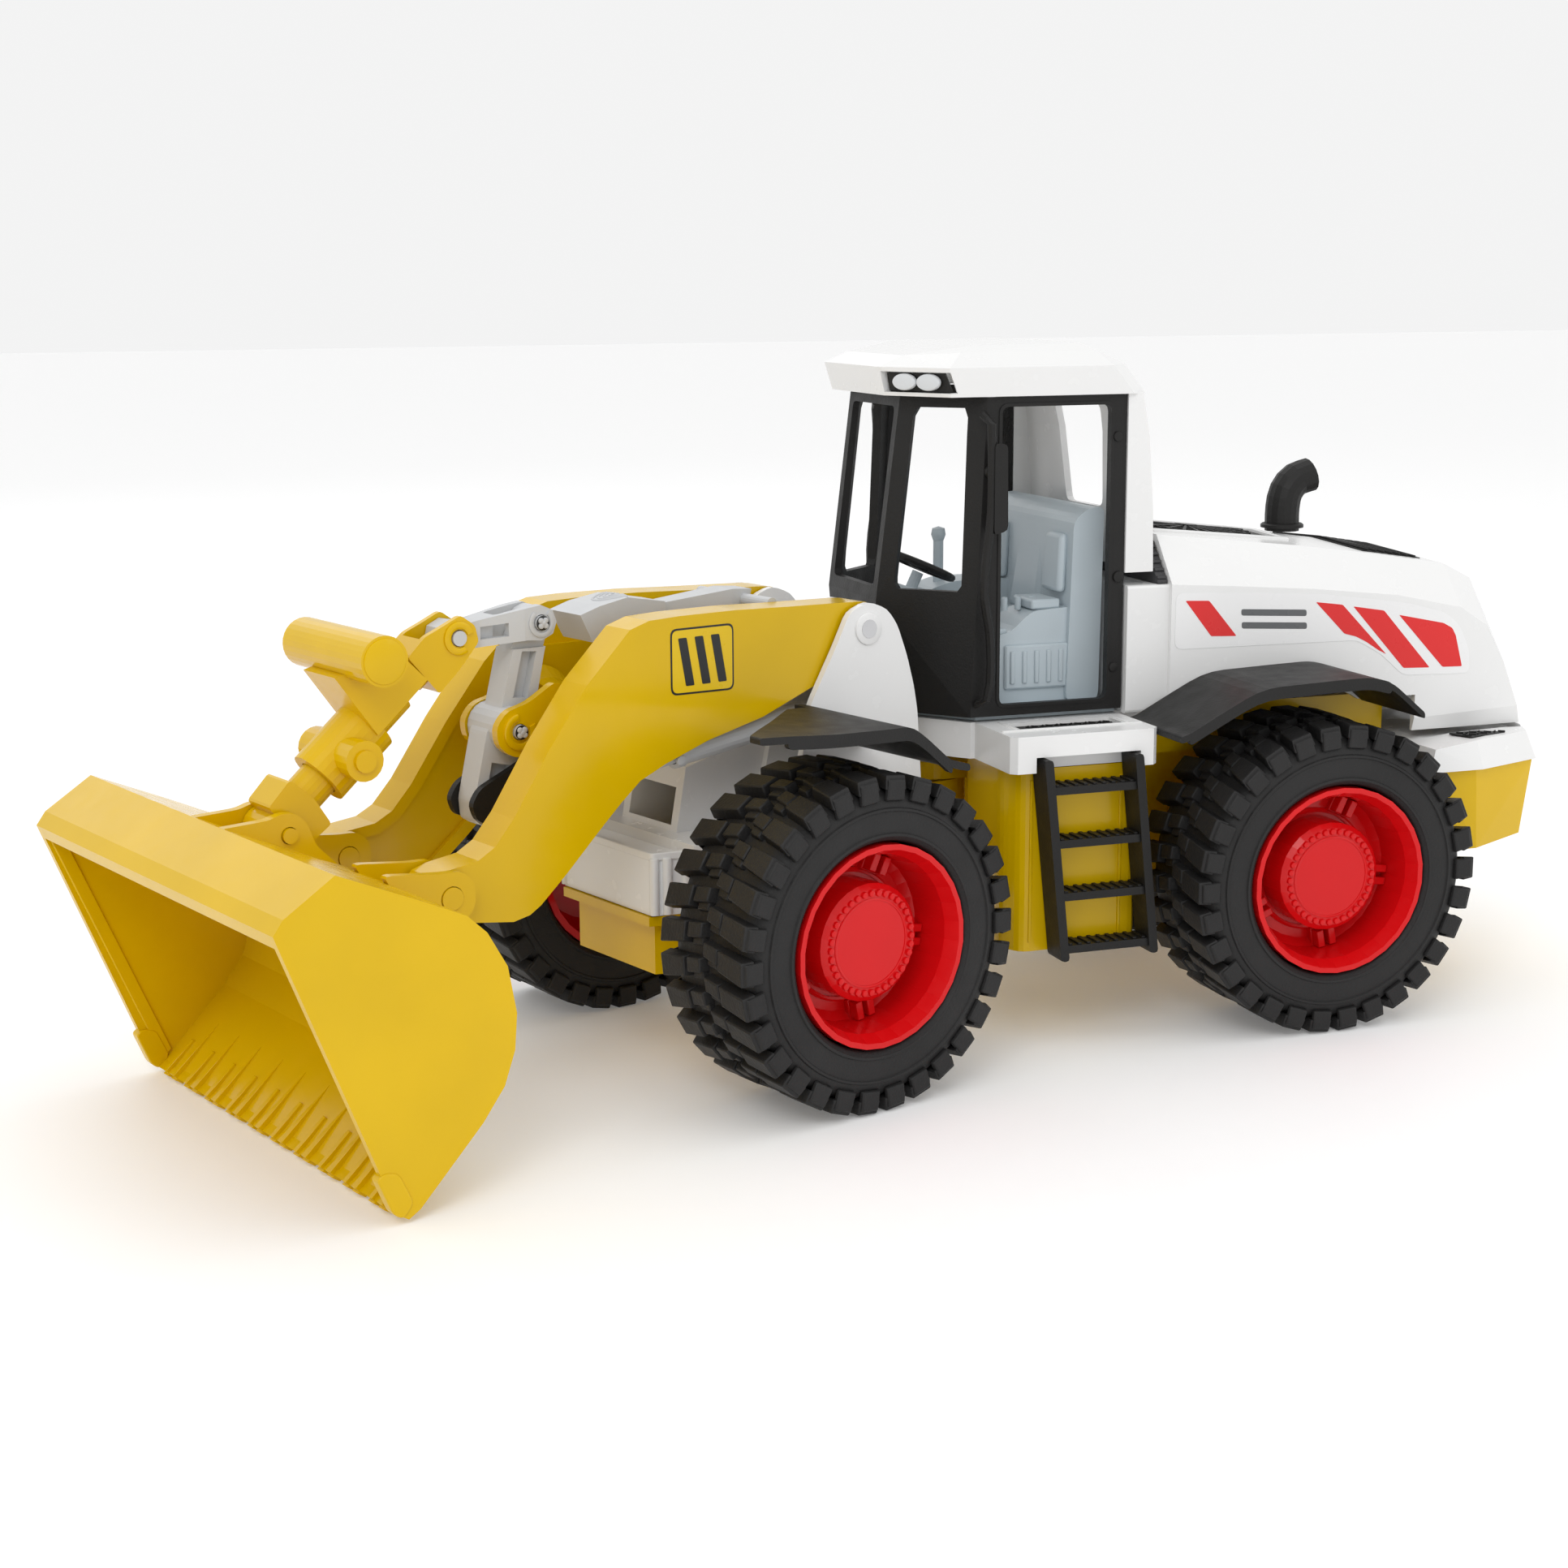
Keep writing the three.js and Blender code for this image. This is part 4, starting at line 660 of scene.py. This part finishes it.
for s in (1, -1):
    pads.prism([(-37.2, s * 16.5, 143.5), (-34.0, s * 16.5, 143.5), (-34.0, s * 30.5, 143.5),
                (-37.2, s * 30.5, 143.5)],
               [(-38.6, s * 17.0, 163), (-35.4, s * 17.0, 163), (-35.4, s * 29.5, 163),
                (-38.6, s * 29.5, 163)])
piece("seat_wings", pads, REAR, CABIN, "rear_frame", bevel=1.5)
console = Shape()
console.block((-35.0, -24.5), (15.2, 30.8), (138.2, 141.6))
console.block((-15.6, -9.0), (15.2, 30.8), (129.4, 132.6))
console.block((-38, -14), (31.6, 33.2), (112, 127))
piece("console_pads", console, REAR, CABIN, "rear_frame", bevel=1.1)
grooves = Shape()
for k in range(5):
    x = -35 + k * 4.4
    grooves.block((x, x + 1.6), (32.9, 33.9), (114, 125))
piece("console_ribs", grooves, REAR, CABIN, "rear_frame", bevel=0.4)
knob = Shape()
knob.lathe([(0.01, -2.6), (1.9, -2.0), (2.6, 0), (2.2, 2.2), (0.01, 2.9)], 20, (0, 0, 0), closed=False)
grip = Shape()
grip.add([Vector((-14, -25, 158.5)) + turned @ Vector(p) for p in knob.points], knob.faces)
piece("joystick_knob", grip, REAR, CABIN, "rear_frame")
buttons = Shape()
for k in range(3):
    buttons.disc((-28 + 5 * k, 23, 137.5), (0, 0, 1), 1.1, 4.5, 14, 0.6)
piece("console_buttons", buttons, REAR, CABIN, "rear_frame")
dials = Shape()
for k in range(3):
    dials.disc((13.5 - 0.4 * k, -8 + 8 * k, 142.6), (-0.25, 0, 1), 2.7, 1.6, 24, 0.4)
piece("dash_dials", dials, REAR, DARK, "rear_frame")

SEAL_IN, SEAL_OUT = 45.9, 46.35
for s, where in SIDES:
    door = Shape()
    y = s * 46.05
    for z in (120, 196):
        door.disc((-47.2, y, z), (0, s, 0), 1.6, 0.8, 18, 0.3)
    door.disc((-48.4, y, 150), (0, s, 0), 1.9, 0.8, 20, 0.3)
    door.disc((-2.2, y, 186), (0, s, 0), 2.2, 1.8, 20, 0.8)
    piece(f"door_fittings_{where}", door, REAR, BLACK, "rear_frame")
    seal = Shape()
    outer = rounded([(-5.0, 108.6), (-5.0, 207.5), (-46.0, 207.5), (-46.0, 108.6)], 3.5, 6)
    inner = rounded([(-6.1, 109.7), (-6.1, 206.4), (-44.9, 206.4), (-44.9, 109.7)], 2.6, 6)
    seal.frame(outer, inner, lambda p: (p[0], s * SEAL_IN, p[1]), lambda p: (p[0], s * SEAL_OUT, p[1]))
    piece(f"door_seal_{where}", seal, REAR, BLACK, "rear_frame")

# ---- boom and linkage trim ---------------------------------------------------------------
ARM_OUT = 31.8
TOE = 0.043
TOE_FROM = 55
ARM_CLEAR = 0.04
ARM_FILM = 0.07


def arm_film(name, outline, finish, level):
    """A film on both boom arms; a higher level lies over the ones below it."""
    side_film(name, outline, finish, FRONT, "boom", ARM_OUT + ARM_CLEAR + ARM_FILM * level, ARM_FILM,
              toe=TOE, toe_from=TOE_FROM)


# A plain panel of three slanted bars on the arm.
STICKER_BORDER = [(106.4, 144.2), (130.4, 144.4), (130.4, 124.2), (106.4, 123.6)]
STICKER_FIELD = [(107.0, 143.6), (129.8, 143.8), (129.8, 124.8), (107.0, 124.2)]
arm_film("boom_sticker_border", rounded(STICKER_BORDER, 2.4), BLACK_FILM_AND_SHADE, 0)
arm_film("boom_sticker_field", rounded(STICKER_FIELD, 2.0), FILM_YELLOW, 1)
for k in range(3):
    x = 109.2 + 6.2 * k
    bar = [(x, 126.6), (x + 3.2, 126.6), (x + 6.0, 141.4), (x + 2.8, 141.4)]
    arm_film(f"boom_sticker_bar_{k + 1}", rounded(bar, 0.4, 2), BLACK_FILM_AND_SHADE, 2)


def star_caps(name, centre, y, radius, body, finish=GREY):
    """A clip pin's end: four rounded lobes over a black disc of painted shade for the slot, on both sides."""
    lobes, slot_shade_disc = Shape(), Shape()
    for s in (1, -1):
        # Black disc just under the lobes: painted shade where the slot's recess would be dark.
        slot_shade_disc.disc((centre[0], s * (y - 0.1), centre[1]), (0, s, 0), radius * 1.02, 0.25, 24, 0.1)
        for k in range(4):
            a = math.pi / 4 + k * math.pi / 2
            c, d = math.cos(a), math.sin(a)
            middle = (centre[0] + radius * 0.52 * c, s * (y + 0.02), centre[1] + radius * 0.52 * d)
            lobes.disc(middle, (0, s, 0), radius * 0.40, 0.8, 14, 0.35)
        lobes.disc((centre[0], s * (y + 0.02), centre[1]), (0, s, 0), radius * 0.35, 0.95, 14, 0.3)
    piece(f"{name}_painted_slot_shade", slot_shade_disc, FRONT, BLACK_FILM_AND_SHADE, body)
    piece(f"{name}_lobes", lobes, FRONT, finish, body)


star_caps("rocker_pin_star", (169.2, 114.2), 12.4, 2.2, "boom")
star_caps("link_pin_star", (158.2, 145.8), 7.9, 2.2, "rocker")


HOOK_STEPS = 26
HOOK_HALF_GAP = 38


def hook_collar(name, centre, y, r0, r1, gap_angle, body, finish=YELLOW, height=1.0):
    """A raised C-shaped collar around a pin, open on one side, on both sides."""
    shape = Shape()
    for s in (1, -1):
        rings = []
        for k in range(HOOK_STEPS + 1):
            sweep = 2 * math.pi - math.radians(2 * HOOK_HALF_GAP)
            a = gap_angle + math.radians(HOOK_HALF_GAP) + sweep * k / HOOK_STEPS
            c, d = math.cos(a), math.sin(a)
            rings.append([(centre[0] + r * c, s * h, centre[1] + r * d)
                          for r, h in ((r0, y), (r1, y), (r1, y + height * 0.7), (r1 - 0.4, y + height),
                                       (r0 + 0.3, y + height), (r0, y + height * 0.7))])
        n = 6
        points = [p for ring in rings for p in ring]
        faces = [[k * n + i, k * n + (i + 1) % n, (k + 1) * n + (i + 1) % n, (k + 1) * n + i]
                 for k in range(HOOK_STEPS) for i in range(n)]
        faces += [list(range(n))[::-1], list(range(HOOK_STEPS * n, HOOK_STEPS * n + n))]
        shape.add(points, faces)
    piece(name, shape, FRONT, finish, body)


hook_collar("rocker_ear_hook", (169.2, 114.2), 11.2, 3.4, 5.6, math.radians(120), "boom", height=0.8)
hook_collar("grip_ear_hook", (186.7, 143.7), 7.2, 2.9, 5.0, math.radians(200), "tilt_grip", height=0.7)
hook_collar("link_end_boss", (158.2, 145.8), 7.0, 3.0, 4.4, math.radians(90), "link", finish=GREY, height=0.5)

thumb = Shape()
for k in range(5):
    radius = 2.2 + 1.8 * k
    route = []
    for q in range(15):
        a = math.radians(-80 + 160 * q / 14)
        x, y = 124.5 + radius * 1.1 * math.cos(a), radius * 0.62 * math.sin(a)
        z = 151.0 - max(0.0, x - 128) * 0.168 - max(0.0, 128 - x) * 0.03
        route.append((x, y, z + 0.1))
    thumb.tube(route, 0.45, 8)
piece("lever_thumb_ridges", thumb, FRONT, GREY, "lever")

# Round caps on the ends of the grip bar.
caps = Shape()
for s in (1, -1):
    caps.disc((220.6, s * 24.9, 142.2), (0, s, 0), 6.6, 0.5, 36, 0.3)
piece("grip_bar_caps", caps, FRONT, YELLOW, "tilt_grip")

for s, where in SIDES:
    tab = Shape()
    centre = Vector((125.4, s * (25.2 + TOE * 70.4), 103.6))
    tab.disc(centre + Vector((0, s * 4.0, 0)), (0, s, -0.2), 1.6, 0.9, 16, 0.3)
    piece(f"lift_ring_tab_{where}", tab, FRONT, GREY, f"lift_barrel_{where}")

# ---- bucket detail -----------------------------------------------------------------------
FLOOR_LIP = Vector((249.4, 4.2))
FLOOR_TOP = Vector((227.8, 25.0))
up_floor = (FLOOR_TOP - FLOOR_LIP).normalized()
off_floor = Vector((up_floor.y, -up_floor.x))


def floor_ridge(shape, y, length, foot, tip, high, low):
    """A ridge from the cutting edge up the bucket's floor, narrowing from foot to tip width."""
    start, end = FLOOR_LIP - up_floor * 3.4, FLOOR_LIP + up_floor * length
    base, crest = [], []
    for at, half, rise in ((start, -foot, high + 0.8), (start, foot, high + 0.8), (end, tip, low),
                           (end, -tip, low)):
        p = at - off_floor * 0.9
        q = at + off_floor * rise
        base.append((p.x, y + half / 2, p.y))
        crest.append((q.x, y + half * 0.38, q.y))
    shape.prism(base, crest)


RIDGE_PAIRS = 10
RIDGE_PITCH = 15.4
ribs = Shape()
for pair in range(RIDGE_PAIRS):
    middle = (pair - (RIDGE_PAIRS - 1) / 2) * RIDGE_PITCH
    floor_ridge(ribs, middle + 3.0, 18.0, 3.6, 0.3, 1.0, 0.1)
    floor_ridge(ribs, middle - 3.0, 9.5, 2.4, 2.0, 0.7, 0.7)
piece("bucket_floor_ribs", ribs, FRONT, YELLOW, "bucket", bevel=0.25)

for s, where in SIDES:
    strip = Shape()
    edge = [(283.6, 84.0), (249.8, 3.0)]
    d = (Vector(edge[1]) - Vector(edge[0])).normalized()
    n = Vector((-d.y, d.x))
    a, b = Vector(edge[0]), Vector(edge[1])
    loop = [a + d * 1.5, a - n * 4.2 + d * 2.5, b - n * 4.2 - d * 3.0, b - d * 1.5]
    strip.prism([(p.x, s * 79.2, p.y) for p in loop], [(p.x, s * 80.4, p.y) for p in loop])
    guard = rounded([(251.4, 1.4), (254.4, 3.4), (258.8, 14.0), (256.6, 15.4), (252.2, 14.6), (248.0, 5.4)],
                    1.8, 4)
    strip.prism([(x, s * 79.0, z) for x, z in guard], [(x, s * 83.0, z) for x, z in guard])
    piece(f"bucket_side_strip_{where}", strip, FRONT, YELLOW, "bucket", bevel=0.4)

# Raised moulding lines on the outer faces of the tank.
panels = Shape()
for s in (1, -1):
    for x in (-9, -41):
        panels.block((x - 0.5, x + 0.5), sorted((s * 65.9, s * 66.5)), (34, 88))
piece("tank_ribs", panels, REAR, YELLOW, "rear_frame", bevel=0.2)

body_ribs = Shape()
for s in (1, -1):
    for x, y in ((121.5, 28.9), (127.5, 27.2), (131.4, 25.8)):
        body_ribs.disc((x, s * y, 54.4), (0, 0, 1), 1.5, 18.0, 18, 0.5)
piece("front_housing_ribs", body_ribs, FRONT, WHITE, "front_frame")
LIP_LOW, LIP_HIGH = 71.6, 74.0
lip = Shape()
outline = rounded([(119, 29.6), (119, -29.6), (132.6, -26.1), (132.6, 26.1)], 1.4, 4)
outline_in = rounded([(119.6, 27.4), (119.6, -27.4), (130.6, -24.0), (130.6, 24.0)], 1.2, 4)
lip.frame(outline, outline_in, lambda p: (p[0], p[1], LIP_LOW), lambda p: (p[0], p[1], LIP_HIGH))
piece("front_housing_lip", lip, FRONT, WHITE, "front_frame", bevel=0.3)

domes = Shape()
for s in (1, -1):
    domes.disc((55, s * 35.65, 138), (0, s, 0), 5.2, 0.8, 36, 0.5)
piece("boom_pivot_bosses", domes, FRONT, WHITE, "front_frame")

# ---- floor, light and camera -------------------------------------------------------------
FLOOR_REACH = 8
FLOOR_Z = -0.0002
FLOOR_GLOW = 0.12
SKY_STRENGTH = 0.90


def area_light(name, location, target, size, power):
    light = bpy.data.lights.new(name, "AREA")
    light.shape = "RECTANGLE"
    light.size, light.size_y = size
    light.energy = power
    obj = bpy.data.objects.new(name, light)
    obj.location = location
    obj.rotation_euler = (Vector(target) - Vector(location)).to_track_quat("-Z", "Y").to_euler()
    bpy.context.scene.collection.objects.link(obj)


floor = bpy.data.meshes.new("floor")
corners = [(x * FLOOR_REACH, y * FLOOR_REACH, FLOOR_Z) for x, y in ((-1, -1), (1, -1), (1, 1), (-1, 1))]
floor.from_pydata(corners, [], [(0, 1, 2, 3)])
floor_obj = bpy.data.objects.new("floor", floor)
bpy.context.scene.collection.objects.link(floor_obj)
pale = material("pale_floor", (0.90, 0.90, 0.90), 0.6, tint=0.004, grain=0.02)
glow = pale.node_tree.nodes["Principled BSDF"]
glow.inputs["Emission Color"].default_value = (1, 1, 1, 1)
glow.inputs["Emission Strength"].default_value = FLOOR_GLOW
floor.materials.append(pale)
bpy.context.scene.view_settings.view_transform = "Standard"

world = bpy.data.worlds.new("studio")
world.use_nodes = True
sky = world.node_tree.nodes["Background"]
sky.inputs["Color"].default_value = (1, 1, 1, 1)
sky.inputs["Strength"].default_value = SKY_STRENGTH
bpy.context.scene.world = world
area_light("key", (0.9, 1.5, 1.5), (0.02, 0, 0.1), (0.8, 0.8), 9)
area_light("top", (-0.1, 0.2, 1.9), (0, 0, 0), (2.4, 1.2), 5)
area_light("side", (-1.7, 1.1, 0.9), (0, 0, 0.1), (0.9, 0.9), 2)
area_light("back", (0.2, -1.7, 1.2), (0, 0, 0.1), (1.6, 1.0), 2.5)

AZIMUTH = 2.807582411
ELEVATION = 0.203544011
ROLL = -0.005417476
SENSOR_WIDTH = 36
FOCAL_LENGTH = 56.897
NEAR_CLIP = 0.05
CAMERA_FROM_PIVOT = Vector((0.323059, 0.779404, 0.248911))
back = Vector((math.sin(AZIMUTH) * math.cos(ELEVATION), -math.cos(AZIMUTH) * math.cos(ELEVATION),
               math.sin(ELEVATION)))
ahead = -back
right = ahead.cross(Vector((0, 0, 1))).normalized()
up = right.cross(ahead)
right_rolled = math.cos(ROLL) * right + math.sin(ROLL) * up
up_rolled = -math.sin(ROLL) * right + math.cos(ROLL) * up
camera_data = bpy.data.cameras.new("camera")
camera_data.sensor_width = SENSOR_WIDTH
camera_data.lens = FOCAL_LENGTH
camera_data.clip_start = NEAR_CLIP
camera = bpy.data.objects.new("camera", camera_data)
turn = Matrix((right_rolled, up_rolled, back)).transposed().to_4x4()
camera.matrix_world = Matrix.Translation(pivot + CAMERA_FROM_PIVOT) @ turn
bpy.context.scene.collection.objects.link(camera)
bpy.context.scene.camera = camera
